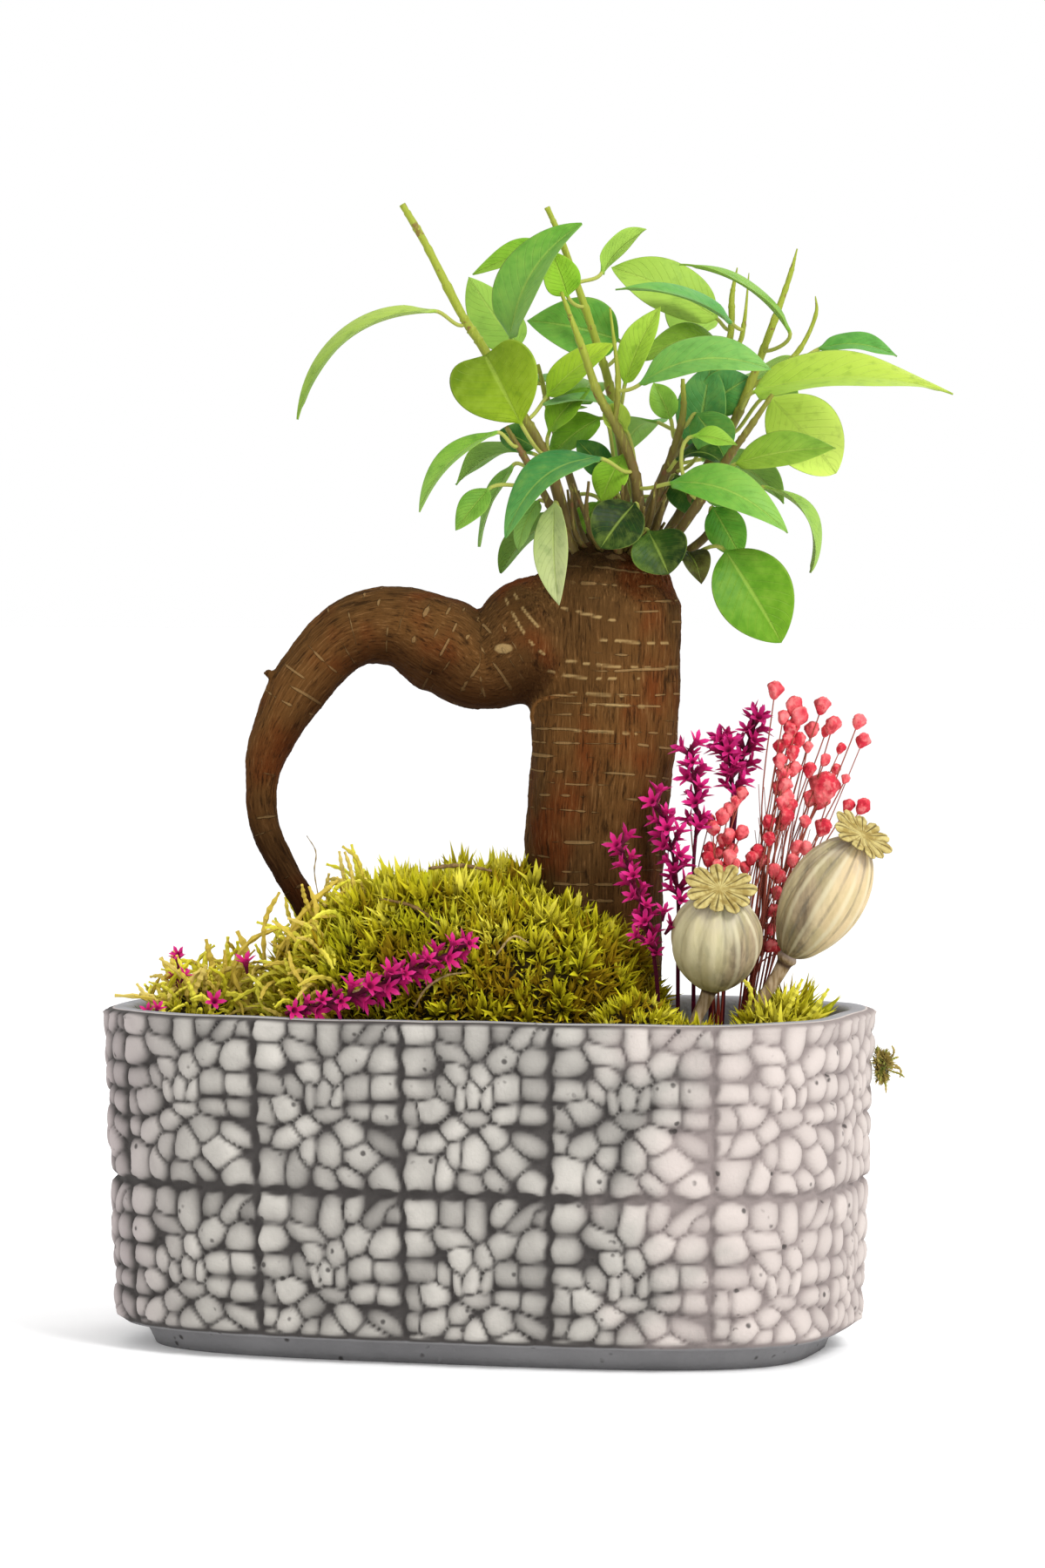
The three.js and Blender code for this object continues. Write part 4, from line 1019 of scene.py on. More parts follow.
def leaf(number, shoot, height, base, tip, width, bow, face, fold, widest, near, far):
    """One leaf with its stalk, closed, as a flat tube from the shoot to the tip."""
    draw = np.random.RandomState(LEAF_SEED + number)
    seat, way, radius = on_limb(*SHOOTS[shoot], height)
    base, tip = np.array(base, float), np.array(tip, float)
    face = unit(np.array(face, float))
    lift = square_to(unit(tip - base)[None], face)[0]
    middle = (base + tip) / 2 + lift * 2 * bow
    outward = square_to(way[None], base - seat)[0]
    start = seat + outward * radius * 0.6
    reach = np.linalg.norm(base - start) / 3
    heel = base - unit(middle - base) * reach
    stalk_share = np.arange(STALK_ROWS) / STALK_ROWS
    even = np.arange(BLADE_ROWS + 1)
    blade_share = (1 - np.cos(np.pi * even / BLADE_ROWS)) / 2
    blade_share = 0.35 * blade_share + 0.65 * even / BLADE_ROWS
    stalk = bezier((start, start + outward * reach, heel, base), stalk_share)
    blade = bezier((base, middle, tip), blade_share)
    places = np.vstack((stalk, blade))
    ways = unit(np.gradient(places, axis=0))
    normals = np.array([square_to(way[None], face)[0] for way in ways])
    sides = np.cross(normals, ways)
    rise = 0.6 * widest / 0.4
    fall = rise * (1 - widest) / widest
    outline = blade_share**rise * (1 - blade_share) ** fall
    outline /= widest**rise * (1 - widest) ** fall
    half = np.concatenate((np.full(STALK_ROWS, STALK_HALF), np.maximum(outline * width / 2, 0.35)))
    half[STALK_ROWS] = STALK_HALF
    half[-1] = TIP_HALF
    on_blade = np.concatenate((np.zeros(STALK_ROWS), soft_step(blade_share, 0, 0.12)))
    share = np.concatenate((stalk_share - 1, blade_share))
    thick = STALK_HALF * (1 - on_blade) + BLADE_THICKNESS / 2 * on_blade
    waves = draw.uniform(0.25, 0.6) * on_blade
    phase, beat, twist = draw.uniform(0, 6), draw.uniform(7, 11), draw.normal(0, 0.12)
    fold = np.radians(fold)
    last = len(places) - 1

    def place_of(u, v):
        row = row_at(v, last)
        angle = 2 * np.pi * u
        x = np.cos(angle) * half[row]
        side_share = np.cos(angle)
        lean = on_blade[row] * fold
        ripple = waves[row] * np.sin(beat * share[row] + phase + 2.2 * np.sign(side_share))
        ripple *= side_share**2
        rib = -0.35 * np.exp(-((side_share / 0.16) ** 2)) * on_blade[row] * (half[row] > 2)
        raised = np.abs(x) * np.sin(lean) + np.sin(angle) * thick[row] + ripple + rib
        raised += twist * x * share[row] * on_blade[row]
        notch = NOTCHES.get(number, 0) * on_blade[row] * np.maximum(share[row], 0) ** 4
        notch *= 1 - side_share**2 * (1 - np.maximum(share[row], 0) ** 8)
        moved = places[row] + sides[row] * (x * np.cos(lean))[:, None] - ways[row] * notch[:, None]
        return planted(moved + normals[row] * raised[:, None])

    def blade_mark(u, v):
        return np.stack((np.cos(2 * np.pi * u), share[row_at(v, last)], np.sin(2 * np.pi * u)), 1)

    def tone_mark(u, v):
        mixed = np.clip(share[row_at(v, last)] + 0.25 * np.cos(2 * np.pi * u), 0, 1)[:, None]
        first, second = np.array(tint(*near)[:3]), np.array(tint(*far)[:3])
        return LEAF_SHARE * (first * (1 - mixed) + second * mixed)

    return close_up(sheet_of_quads(LEAF_COLUMNS, last, place_of, blade=blade_mark, tone=tone_mark))


leaf_skin, place = finish("ficus_leaf", Specular_IOR_Level=0.12)
blade = place.mark("blade", "Vector")
across_blade = blade.axis("X").maths("ABSOLUTE")
along_blade = blade.axis("Y")
upper = blade.axis("Z").rise(-0.1, 0.1)
colour = place.mark("tone", "Color")
mottle = place.noise(260, 4)
veins = (along_blade * 11 - across_blade * 3.2).maths("FRACT")
veins = (veins - 0.5).maths("ABSOLUTE")
on_leaf = along_blade.rise(0.01, 0.06)
vein_lines = (1 - veins.rise(0.02, 0.09)) * (1 - across_blade.rise(0.7, 0.98)) * on_leaf
midrib = (1 - across_blade.rise(0.02, 0.075)) * on_leaf
edge = across_blade.rise(0.93, 0.995) * on_leaf
colour = (mottle.rise(0.4, 0.75) * 0.14).mix(colour, tint(180, 208, 84))
colour = ((1 - mottle.rise(0.25, 0.5)) * 0.3).mix(colour, tint(54, 100, 14))
colour = (vein_lines * 0.07).mix(colour, tint(180, 206, 90))
colour = (midrib * 0.3).mix(colour, tint(180, 204, 90))
colour = (edge * 0.25).mix(colour, tint(180, 206, 90))
colour = ((1 - upper) * 0.3).mix(colour, tint(160, 184, 96))
colour = (1 - along_blade.rise(-0.1, 0.02)).mix(colour, tint(168, 174, 82))
height = 0.5 * mottle - vein_lines * 0.4 - midrib
lay(leaf_skin, colour, 0.36 + 0.2 * mottle + 0.25 * (1 - upper), height, 0.0002)
for number, row in enumerate(LEAVES + INNER_LEAVES, 1):
    nodes = [f"leaf_{number:02d}"] if number <= len(LEAVES) else []
    set_down(f"leaf_blade_{number:02d}", leaf(number, *row), leaf_skin, "leaf", *nodes)

# Moss
# Feather moss laid over the earth in a high cushion, two lower mats and two small mounds,
# with thin moss between. It grows in star-like tufts of narrow pointed leaves, brown in
# places, and dry strands sprawl over its left side. Shade is painted darker and browner
# into the gaps between its lumps, and painted light and highlights onto the cushion's top.

SOIL_TOP = 92.3
MOSS_DOMES = {
    # centre across and deep, half length, half depth, height, lumpiness
    "cushion": (-6, -5, 63, 49, 55, 0.06),
    "left": (-89, -6, 17, 38, 22, 0.12),
    "right": (92, 8, 12, 30, 16, 0.1),
    "front": (68, -36, 20, 17, 13, 0.1),
    "corner": (56, -33, 15, 18, 20, 0.12),
}
BED_HALF_LENGTH, BED_HALF_DEPTH = 106, 57
RIM_CLEARANCE = 108
MAT_TRIES, CARPET_TRIES = 26000, 9000
MAT_SPACINGS = {"cushion": 3.1, "left": 4.2, "right": 3.6, "front": 3.6, "corner": 3.6}
CARPET_SPACING = 4.6
TUFT_KINDS = 8
CLUMP_SIZE = 40
LUMP_SPACING = 11
LUMP_EDGE = (2.5, 7.5)
TRUNK_CLEARANCE = 19.5
STRAND_STEPS, STRAND_SIDES = 13, 5
MOSS_SEED = 7
LONG_STRANDS = (
    # points of the longest strands of the left mat, thickness
    (((-88, -12, 104), (-80, -14, 112), (-75, -15, 121), (-78, -15, 128)), 1.2),
    (((-84, -8, 108), (-88, -9, 116), (-90, -10, 125)), 1.0),
    (((-82, -14, 104), (-82, -14, 112), (-82.5, -14, 122)), 0.8),
    (((-97, -10, 106), (-101, -10, 112), (-105, -10, 119)), 0.9),
    (((-72, -20, 104), (-77, -22, 116), (-70, -24, 126), (-60, -26, 130)), 0.8),
    (((-66, -24, 118), (-65, -26, 132), (-60, -27, 141)), 0.8),
    (((-58, -28, 118), (-55, -29, 130), (-48, -28, 139), (-41, -27, 145)), 1.0),
    (((-62, -26, 108), (-60, -28, 122), (-52, -29, 131), (-45, -28, 130)), 0.8),
    (((-56, -30, 112), (-49, -31, 124), (-47, -30, 136), (-50, -28, 143)), 0.8),
    (((-50, -32, 114), (-53, -32, 124), (-48, -30, 133), (-40, -29, 134)), 0.7),
)


def dome_places(mat, x, y, z, sunk):
    """Places on a moss mat, in millimetres, for points of the upper unit half ball."""
    middle_x, middle_y, half_length, half_depth, height, lump = MOSS_DOMES[mat]
    ripple = 1 + lump * np.sin(5 * x + 2 * y) * np.cos(6 * y - 3 * x) * z
    across = middle_x + x * np.sqrt(1 + y * y / 4) * (half_length - sunk)
    deep = middle_y + y * np.sqrt(1 + x * x / 4) * (half_depth - sunk)
    return np.stack((across, deep, SOIL_TOP + (height - sunk) * np.abs(z) ** 0.6 * ripple), -1)


def dome_at(mat, turn, rise, sunk):
    level = np.cos(rise)
    return dome_places(mat, level * np.cos(turn), level * np.sin(turn), np.sin(rise), sunk)


def dome_core(mat, sunk):
    """The dark heart of a mat, closed under its flat foot."""

    def place_of(u, v):
        turn, rise = 2 * np.pi * u, np.pi / 2 * (1.25 * v - 0.25)
        places = dome_at(mat, turn, np.maximum(rise, 0), sunk)
        lump = np.sin(7 * turn + 9 * v) * np.sin(31 * v + 3 * np.cos(2 * turn))
        places[:, 2] += 1.2 * lump * (rise > 0)
        under = rise <= 0
        middle = np.array(MOSS_DOMES[mat][:2])
        foot = 1 + rise[under] / (np.pi / 8)
        places[under, :2] = middle + (places[under, :2] - middle) * foot[:, None]
        places[under, 2] = SOIL_TOP
        return places * MM

    marks = {"tone": lambda u, v: 0 * u - 0.4, "shade": lambda u, v: 0 * u}
    return close_up(sheet_of_quads(64, 26, place_of, **marks))


def mat_sites(mat, draw, sunk):
    """Places spread evenly over a mat, with the way the mat faces at each."""
    turn = draw.uniform(0, 2 * np.pi, MAT_TRIES)
    rise = np.arcsin(draw.uniform(0, 1, MAT_TRIES))
    places = dome_at(mat, turn, rise, sunk)
    step_turn = dome_at(mat, turn + 0.01, rise, sunk) - places
    step_rise = dome_at(mat, turn, np.minimum(rise + 0.01, np.pi / 2 - 1e-4), sunk) - places
    facing = np.cross(step_turn, step_rise)
    return spread_out(places, unit(facing + 1e-12), MAT_SPACINGS[mat])


def spread_out(places, facing, spacing):
    """The places that lie at least a spacing from those before them."""
    kept, cells = [], {}
    for index, place in enumerate(places):
        cell = tuple((place // spacing).astype(int))
        near = [
            other
            for shift in np.ndindex(3, 3, 3)
            for other in cells.get(tuple(np.array(cell) + shift - 1), ())
        ]
        if all(np.sum((places[other] - place) ** 2) > spacing**2 for other in near):
            kept.append(index)
            cells.setdefault(cell, []).append(index)
    return places[kept], facing[kept]


def sliver(length, width, turn, lean, curl):
    """One narrow pointed leaf of a tuft, closed, bent outwards from the tuft's foot."""
    out = np.array((np.cos(turn), np.sin(turn), 0))
    aside = np.array((-np.sin(turn), np.cos(turn), 0))

    def place_of(u, v):
        angle = lean + curl * v
        way_out, way_up = np.sin(angle)[:, None] * out, np.cos(angle)[:, None] * (0, 0, 1)
        back = np.cos(angle)[:, None] * out - np.sin(angle)[:, None] * (0, 0, 1)
        half = width / 2 * np.sqrt(np.maximum(4 * v * (1 - v), 0)) * (1.25 - 0.5 * v)
        around = np.cos(2 * np.pi * u)[:, None] * aside + 0.35 * np.sin(2 * np.pi * u)[:, None] * back
        return (way_out + way_up) * (v * length)[:, None] + around * half[:, None]

    return close_up(sheet_of_quads(3, 2, place_of, tone=lambda u, v: v, shade=lambda u, v: 0 * u))


def pattern(name, shape):
    """A small shape to set down many times, as a mesh and its places."""
    mesh = mesh_of(name, shape)
    return mesh, vertex_places(mesh)


def tuft(draw, leaves, length):
    whole = bmesh.new()
    for number in range(leaves):
        turn = 2 * np.pi * number / leaves + draw.uniform(-0.5, 0.5)
        lean = (0.15, 0.6, 1.05)[number % 3] + draw.uniform(0, 0.3)
        reach = length * draw.uniform(0.7, 1.15) * (1.1, 1, 0.85)[number % 3]
        add_shape(whole, sliver(reach, draw.uniform(1.1, 1.9), turn, lean, draw.uniform(-0.4, 0.5)))
    return pattern("tuft", whole)


def plant_tufts(whole, sites, facing, tufts, sizes, shades, draw, upward=0.9):
    """Sets a tuft on each site, leaning from the mat's own way towards straight up."""
    clump = bmesh.new()
    for number, (site, way, size, shade) in enumerate(zip(sites, facing, sizes, shades), 1):
        mesh, rest = tufts[draw.randint(len(tufts))]
        way = unit(way + np.array((0, 0, upward)) + draw.normal(0, 0.22, 3))
        turn = Vector((0, 0, 1)).rotation_difference(Vector(way)).to_matrix()
        turn = np.array(turn @ Matrix.Rotation(draw.uniform(0, 2 * np.pi), 3, "Z"))
        placed = (rest @ turn.T * size + site) * MM
        mesh.vertices.foreach_set("co", placed.ravel())
        mesh.attributes["shade"].data.foreach_set("value", np.full(len(rest), shade))
        clump.from_mesh(mesh)
        if number % CLUMP_SIZE == 0 or number == len(sites):
            add_shape(whole, clump)
            clump = bmesh.new()
    clump.free()


def in_lumps(sites, facing, depth):
    """Draws tufts in between lumps of the mat, and tells how far in each one lies."""
    lumps, _ = spread_out(sites, facing, LUMP_SPACING)
    gap = np.sqrt(((sites[:, None] - lumps[None]) ** 2).sum(2).min(1))
    gap = soft_step(gap, *LUMP_EDGE)
    return sites - facing * (depth * gap)[:, None], gap


def outside_trunk(sites):
    """Which sites lie clear of the trunk's foot."""
    middles = planted(along_route(TRUNK_ROUTE, np.linspace(0, 1, 60))) / MM
    heights = middles[:, 2]
    middle_x = np.interp(sites[:, 2], heights, middles[:, 0])
    middle_y = np.interp(sites[:, 2], heights, middles[:, 1])
    return np.hypot(sites[:, 0] - middle_x, sites[:, 1] - middle_y) > TRUNK_CLEARANCE


def frond(start, way, length, girth, draw):
    """A soft curling strand of sprawling moss with a blunt end."""
    bend = draw.normal(0, 0.55, 3) + np.array((0, 0, -0.35))
    way = unit(way)
    points = [start, start + way * length * 0.35]
    for _ in range(2):
        way = unit(way + bend * 0.75 + draw.normal(0, 0.15, 3))
        points.append(points[-1] + way * length * 0.33)
    return points, girth * np.array((0.7, 1, 1.05, 1.1, 0.6))


def kept_inside(points):
    """The points of a strand, held inside the wall where they are lower than the rim."""
    kept = []
    for x, y, z in points:
        reach = abs(x / BED_HALF_LENGTH) ** SQUARENESS + abs(y / BED_HALF_DEPTH) ** SQUARENESS
        over = max(reach, 1) ** (1 / SQUARENESS) if z < RIM_CLEARANCE else 1
        kept.append(np.array((x / over, y / over, max(z, SOIL_TOP + 1))))
    return kept


def laid_frond(points, radii, shade):
    """A strand in the planter's own frame, with its tone along it."""
    steps = STRAND_STEPS
    middles = along_route(points, np.linspace(0, 1, steps + 1))
    ways = unit(np.gradient(middles, axis=0))
    sides = square_to(ways, (0.2, 0.3, 0.9))
    across = np.cross(ways, sides)
    reach = girths(radii, steps)

    def place_of(u, v):
        row = row_at(v, steps + 2)
        station = np.clip(row - 1, 0, steps)
        spread = np.cos(2 * np.pi * u)[:, None] * sides[station]
        spread = spread + np.sin(2 * np.pi * u)[:, None] * across[station]
        size = reach[station] * ((row > 0) & (row < steps + 2)) * (1 + 0.24 * (-1) ** row)
        return (middles[station] + spread * size[:, None]) * MM

    marks = {"tone": lambda u, v: 0.25 + 0.75 * v, "shade": lambda u, v: 0 * u + shade}
    return close_up(sheet_of_quads(STRAND_SIDES, steps + 2, place_of, **marks))


moss_leaf, place = finish("feather_moss", Specular_IOR_Level=0.1)
tone = place.mark("tone")
shade = place.mark("shade")
patch = place.noise(45, 3)
colour = tone.rise(-0.1, 0.4).mix(tint(38, 28, 2), tint(140, 126, 6))
colour = tone.rise(0.25, 0.9).mix(colour, tint(216, 208, 34))
# painted highlight on the upper leaves of tufts with a high shade mark
colour = (shade.rise(0.0, 1.0) * tone.rise(0.1, 0.8)).mix(colour, tint(240, 230, 84))
# brown where the shade mark is low: partly the moss's own brown, partly painted shade
colour = ((0 - shade).rise(0.0, 0.9) * 0.75).mix(colour, tint(132, 88, 8))
colour = (patch.rise(0.5, 0.7) * tone.rise(0, 0.6) * 0.45).mix(colour, tint(162, 178, 20))
colour = (shade.rise(1.05, 1.5) * 0.85).mix(colour, tint(208, 178, 76))
colour = (shade.rise(1.6, 2.1) * tone.rise(0.2, 0.9) * 0.7).mix(colour, tint(232, 212, 124))
lay(moss_leaf, colour, 0.75 + 0.15 * patch)

draw = np.random.RandomState(MOSS_SEED)
tufts = [tuft(draw, 16, 6.6) for _ in range(TUFT_KINDS)]
long_tufts = [tuft(draw, 13, 9.5) for _ in range(TUFT_KINDS)]

cushion = dome_core("cushion", 4.5)
sites, facing = mat_sites("cushion", draw, 4)
clear = outside_trunk(sites)
sites, facing = sites[clear], facing[clear]
sites, gap = in_lumps(sites, facing, 3.2)
# Each tuft's shade mark: a random tone, painted light on the cushion's top, darker and browner low in the
# middle and at the lower right, and painted shade in the gaps between lumps
low = soft_step(sites[:, 2], 128, 104) * np.exp(-(((sites[:, 0] + 2) / 32) ** 2))
right_side = soft_step(sites[:, 0], 10, 50) * soft_step(sites[:, 2], 130, 112)
lit = soft_step(sites[:, 2], 112, 136) - right_side
shades = draw.normal(0.2, 0.42, len(sites)) + 0.4 * lit - 0.75 * low
shades = np.minimum(shades - 0.85 * gap, 1)
sizes = draw.uniform(0.8, 1.45, len(sites)) * (1 - 0.15 * low)
sizes += 0.45 * (draw.uniform(0, 1, len(sites)) > 0.93)
plant_tufts(cushion, sites, facing, tufts, sizes, shades, draw)
flank = (sites[:, 0] < -34) & (sites[:, 1] < 20)
for site, way in zip(sites[flank], facing[flank]):
    if draw.uniform() < 0.5:
        start = site + way
        points, radii = frond(start, way + np.array((-0.1, -0.2, 1)), draw.uniform(9, 19), 0.65, draw)
        add_shape(cushion, laid_frond(kept_inside(points), radii, draw.uniform(0.5, 2.1)))
set_down("moss_over_roots", cushion, moss_leaf, "moss", "moss_cushion", smooth=False)

left_mat = dome_core("left", 5)
sites, facing = mat_sites("left", draw, 6)
plant_tufts(left_mat, sites, facing, tufts, draw.uniform(0.5, 0.9, len(sites)),
            np.minimum(draw.normal(0.2, 0.5, len(sites)), 1), draw, 0.3)
for site, way in list(zip(sites, facing)) * 3:
    lead = way + np.array((draw.uniform(-0.7, 0.5), draw.uniform(-0.5, 0.5), draw.uniform(0.1, 0.8)))
    points, radii = frond(site, lead, draw.uniform(9, 19), draw.uniform(0.45, 0.85), draw)
    add_shape(left_mat, laid_frond(kept_inside(points), radii, draw.uniform(0.2, 2.2)))
for points, girth in LONG_STRANDS:
    add_shape(left_mat, laid_frond(points, np.array((0.7, 1, 1, 1.1, 0.5)) * girth, 1.6))
set_down("moss_left_mat", left_mat, moss_leaf, "moss", "moss_left", smooth=False)

right_mat = dome_core("right", 4)
sites, facing = mat_sites("right", draw, 4)
plant_tufts(right_mat, sites, facing, tufts + long_tufts, draw.uniform(0.8, 1.25, len(sites)),
            draw.normal(0.45, 0.4, len(sites)), draw, 0.8)
for points in (
    ((84, -8, 104), (86, -9, 112), (82, -9, 117)),
    ((96, -10, 102), (99, -10, 109), (102.5, -10, 116)),
    ((100, -6, 100), (105, -7, 106), (110, -7, 113)),
):
    add_shape(right_mat, laid_frond(points, (0.6, 0.8, 0.8, 0.4), 0.9))
set_down("moss_right_mat", right_mat, moss_leaf, "moss", "moss_right", smooth=False)

carpet = bmesh.new()
across = draw.uniform(-BED_HALF_LENGTH, BED_HALF_LENGTH, CARPET_TRIES)
deep = draw.uniform(-BED_HALF_DEPTH, BED_HALF_DEPTH, CARPET_TRIES)
reach = np.abs(across / BED_HALF_LENGTH) ** SQUARENESS + np.abs(deep / BED_HALF_DEPTH) ** SQUARENESS
inside = reach < 1
for mat in MOSS_DOMES:
    middle_x, middle_y, half_length, half_depth = MOSS_DOMES[mat][:4]
    reach = np.hypot((across - middle_x) / (half_length - 3), (deep - middle_y) / (half_depth - 3))
    inside &= reach > 1
ground = np.stack((across, deep, np.full(CARPET_TRIES, SOIL_TOP - 0.6)), 1)[inside]
sites, facing = spread_out(ground, np.tile((0.0, 0, 1), (len(ground), 1)), CARPET_SPACING)
bare = np.sin(sites[:, 0] * 0.11 + 2) * np.sin(sites[:, 1] * 0.17 + 1) > 0.45
covered = ~bare | (sites[:, 1] < -20)
sites, facing = sites[covered], facing[covered]
plant_tufts(carpet, sites, facing, tufts, draw.uniform(0.6, 1.25, len(sites)),
            draw.normal(0.1, 0.45, len(sites)), draw, 0.6)
for mat in ("front", "corner"):
    add_shape(carpet, dome_core(mat, 4))
    sites, facing = mat_sites(mat, draw, 4)
    sites, gap = in_lumps(sites, facing, 2)
    # painted shade darkens the tufts in the gaps between lumps
    plant_tufts(carpet, sites, facing, tufts, draw.uniform(0.7, 1.2, len(sites)),
                draw.normal(0.2, 0.45, len(sites)) - 0.6 * gap, draw, 0.8)
set_down("moss_between", carpet, moss_leaf, "moss", smooth=False)

# Litter in the moss
# A few dry twigs and hair-thin rootlets that came in with the moss, and one small dry
# crumb of it caught on the outside of the planter's right end.

LITTER = (
    # points in the planter's frame, thickness, shade
    (((-12, -26, 149), (-2, -25, 150), (8, -25, 148.5)), 0.7, 0.3),
    (((-24, -38, 140), (-14, -37, 138), (-6, -38, 133), (-2, -39, 129)), 0.6, 0.2),
    (((-30, -55, 110), (-25, -57, 113), (-22, -56, 112), (-19, -55, 118)), 0.8, 1.0),
    (((-8, -54, 108), (-4, -55, 114), (2, -54, 118), (8, -53, 119)), 0.45, 0.6),
    (((16, -48, 124), (22, -49, 130), (26, -47, 128)), 0.4, 0.9),
    (((-52, -12, 138), (-53.5, -12, 147), (-53, -12, 153), (-56, -12, 158)), 0.22, 0.8),
    (((-40, 30, 128), (-28, 34, 132), (-18, 33, 131)), 0.6, 0.4),
    (((20, 32, 128), (32, 30, 122), (40, 28, 116)), 0.6, 0.3),
    (((60, -52, 97), (70, -50, 99), (78, -51, 97)), 0.5, 0.7),
)
CRUMB_MIDDLE = (119.25, 25, 87)
CRUMB_HALF_SIZE = (2.6, 3.2, 5.6)
CRUMB_TUFTS, CRUMB_STRANDS = 60, 16
CRUMB_SEED = 21

dry_stem, place = finish("dry_twig", Specular_IOR_Level=0.2)
shade = place.mark("shade")
streak = place.noise(700, 3)
colour = shade.mix(tint(110, 74, 40), tint(198, 172, 112))
colour = (streak.rise(0.4, 0.6) * 0.5).mix(colour, tint(70, 50, 30))
lay(dry_stem, colour, 0.8 + 0.1 * streak, streak, 0.0002)
litter = bmesh.new()
for points, girth, shade in LITTER:
    add_shape(litter, laid_frond(points, girth * np.array((0.7, 1, 0.9, 0.5)), shade))
set_down("twigs_in_moss", litter, dry_stem, "dry_moss")

dry_leaf, place = finish("dry_moss_leaf", Specular_IOR_Level=0.15)
tone = place.mark("tone")
colour = tone.rise(-0.2, 0.9).mix(tint(84, 62, 30), tint(176, 156, 84))
colour = (place.noise(420, 2).rise(0.5, 0.6) * 0.5).mix(colour, tint(126, 150, 62))
lay(dry_leaf, colour, 0.85 + 0.1 * tone)
crumb = bmesh.new()
bmesh.ops.create_icosphere(crumb, subdivisions=3, radius=1)
crumb.verts.layers.float.new("tone")
crumb.verts.layers.float.new("shade")
for vert in crumb.verts:
    rough = 0.62 + 0.2 * np.sin(9 * vert.co.x + 4) * np.sin(8 * vert.co.y + 5 * vert.co.z)
    vert.co = Vector(CRUMB_MIDDLE) * MM + vert.co * Vector(CRUMB_HALF_SIZE) * rough * MM
draw = np.random.RandomState(CRUMB_SEED)
ways = unit(draw.normal(0, 1, (CRUMB_TUFTS, 3)))
ways = ways[ways[:, 0] > -0.4]
sites = np.array(CRUMB_MIDDLE) + ways * np.array(CRUMB_HALF_SIZE) * 0.7
plant_tufts(crumb, sites, ways, tufts, np.full(len(sites), 0.4), np.zeros(len(sites)), draw, 0)
for _ in range(CRUMB_STRANDS):
    way = unit(draw.normal(0, 1, 3) + np.array((0.5, 0, 0)))
    start = np.array(CRUMB_MIDDLE) + way * 1.5
    points, radii = frond(start, way, draw.uniform(5, 9), 0.35, draw)
    points = [np.append(max(point[0], CRUMB_MIDDLE[0] - 0.5), point[1:]) for point in points]
    add_shape(crumb, laid_frond(points, radii, 0))
set_down("crumb_on_wall", crumb, dry_leaf, "dry_moss", "moss_crumb", smooth=False)

# Dry poppy heads
# Two dried seed heads, each a ribbed hollow pod with a rayed crown on a short woody
# stalk. They are pushed into the moss at the right, one upright and one leaning.

POPPIES = {
    # foot of the pod, way it points, radius, length, crown radius, stalk
    "left": ((67.5, -30, 113), (0.05, -0.42, 0.9), 13.8, 33, 10.9,
             ((60, -33, 92.3), (62, -32, 102), (65, -31, 109))),
    "right": ((91, -22, 122.5), (0.5, -0.2, 0.84), 12.4, 43, 10.2,
              ((77, -23, 92.3), (81, -23, 105), (87.5, -22, 116))),
}
POD_PROFILE = (
    (0, 0), (0.2, 0.004), (0.42, 0.045), (0.64, 0.13), (0.84, 0.25), (0.97, 0.39), (1, 0.5),
    (0.96, 0.64), (0.83, 0.77), (0.62, 0.88), (0.4, 0.945), (0.27, 0.97), (0.2, 0.985), (0, 0.99),
)
CROWN_PROFILE = (
    # share of the reach, height over the pod's top
    (0, 0.9), (0.12, 0.7), (0.3, 0.9), (0.55, 1.2), (0.8, 1.5), (0.94, 1.35), (1, 0.8), (0.93, 0.2),
    (0.7, -0.1), (0.42, -0.5), (0.36, -1.6), (0, -1.8),
)
RAYS = 11
STALK_RADII = (1.9, 1.8, 2.1, 2.7)
POD_COLUMNS, POD_ROWS = 154, 60
CROWN_ROWS = 34
CROWN_LEAN = (0, -0.3, -0.12)


def turned_up(places, foot, way):
    """Moves a shape made upright at zero so that it stands on foot and points along way."""
    turn = Vector((0, 0, 1)).rotation_difference(Vector(way)).to_matrix()
    return planted(places @ np.array(turn).T + np.array(foot))


def pod(foot, way, radius, length, seed):
    profile = np.array([(share * radius, 0, height * length) for share, height in POD_PROFILE])

    def place_of(u, v):
        middle = along_route(profile, v)
        angle = 2 * np.pi * u
        rib = np.cos(RAYS * angle + 0.4 * np.sin(3 * v + seed))
        body = np.sin(np.pi * np.clip(middle[:, 2] / length, 0, 1)) ** 0.5
        reach = np.maximum(middle[:, 0], 0)
        reach = reach * (1 + body * (0.034 * rib + 0.012 * np.sin(2 * angle + seed)))
        reach = reach + body * 0.22 * np.sin(22 * v + 5 * np.sin(RAYS * angle)) * (rib < 0)
        places = np.stack((reach * np.cos(angle), reach * np.sin(angle), middle[:, 2]), -1)
        return turned_up(places, foot, way)

    def grain(u, v):
        angle = 2 * np.pi * u
        rib = np.cos(RAYS * angle + 0.4 * np.sin(3 * v + seed))
        return np.stack((rib, v, np.sin(angle + seed)), 1)

    return close_up(sheet_of_quads(POD_COLUMNS, POD_ROWS, place_of, grain=grain))


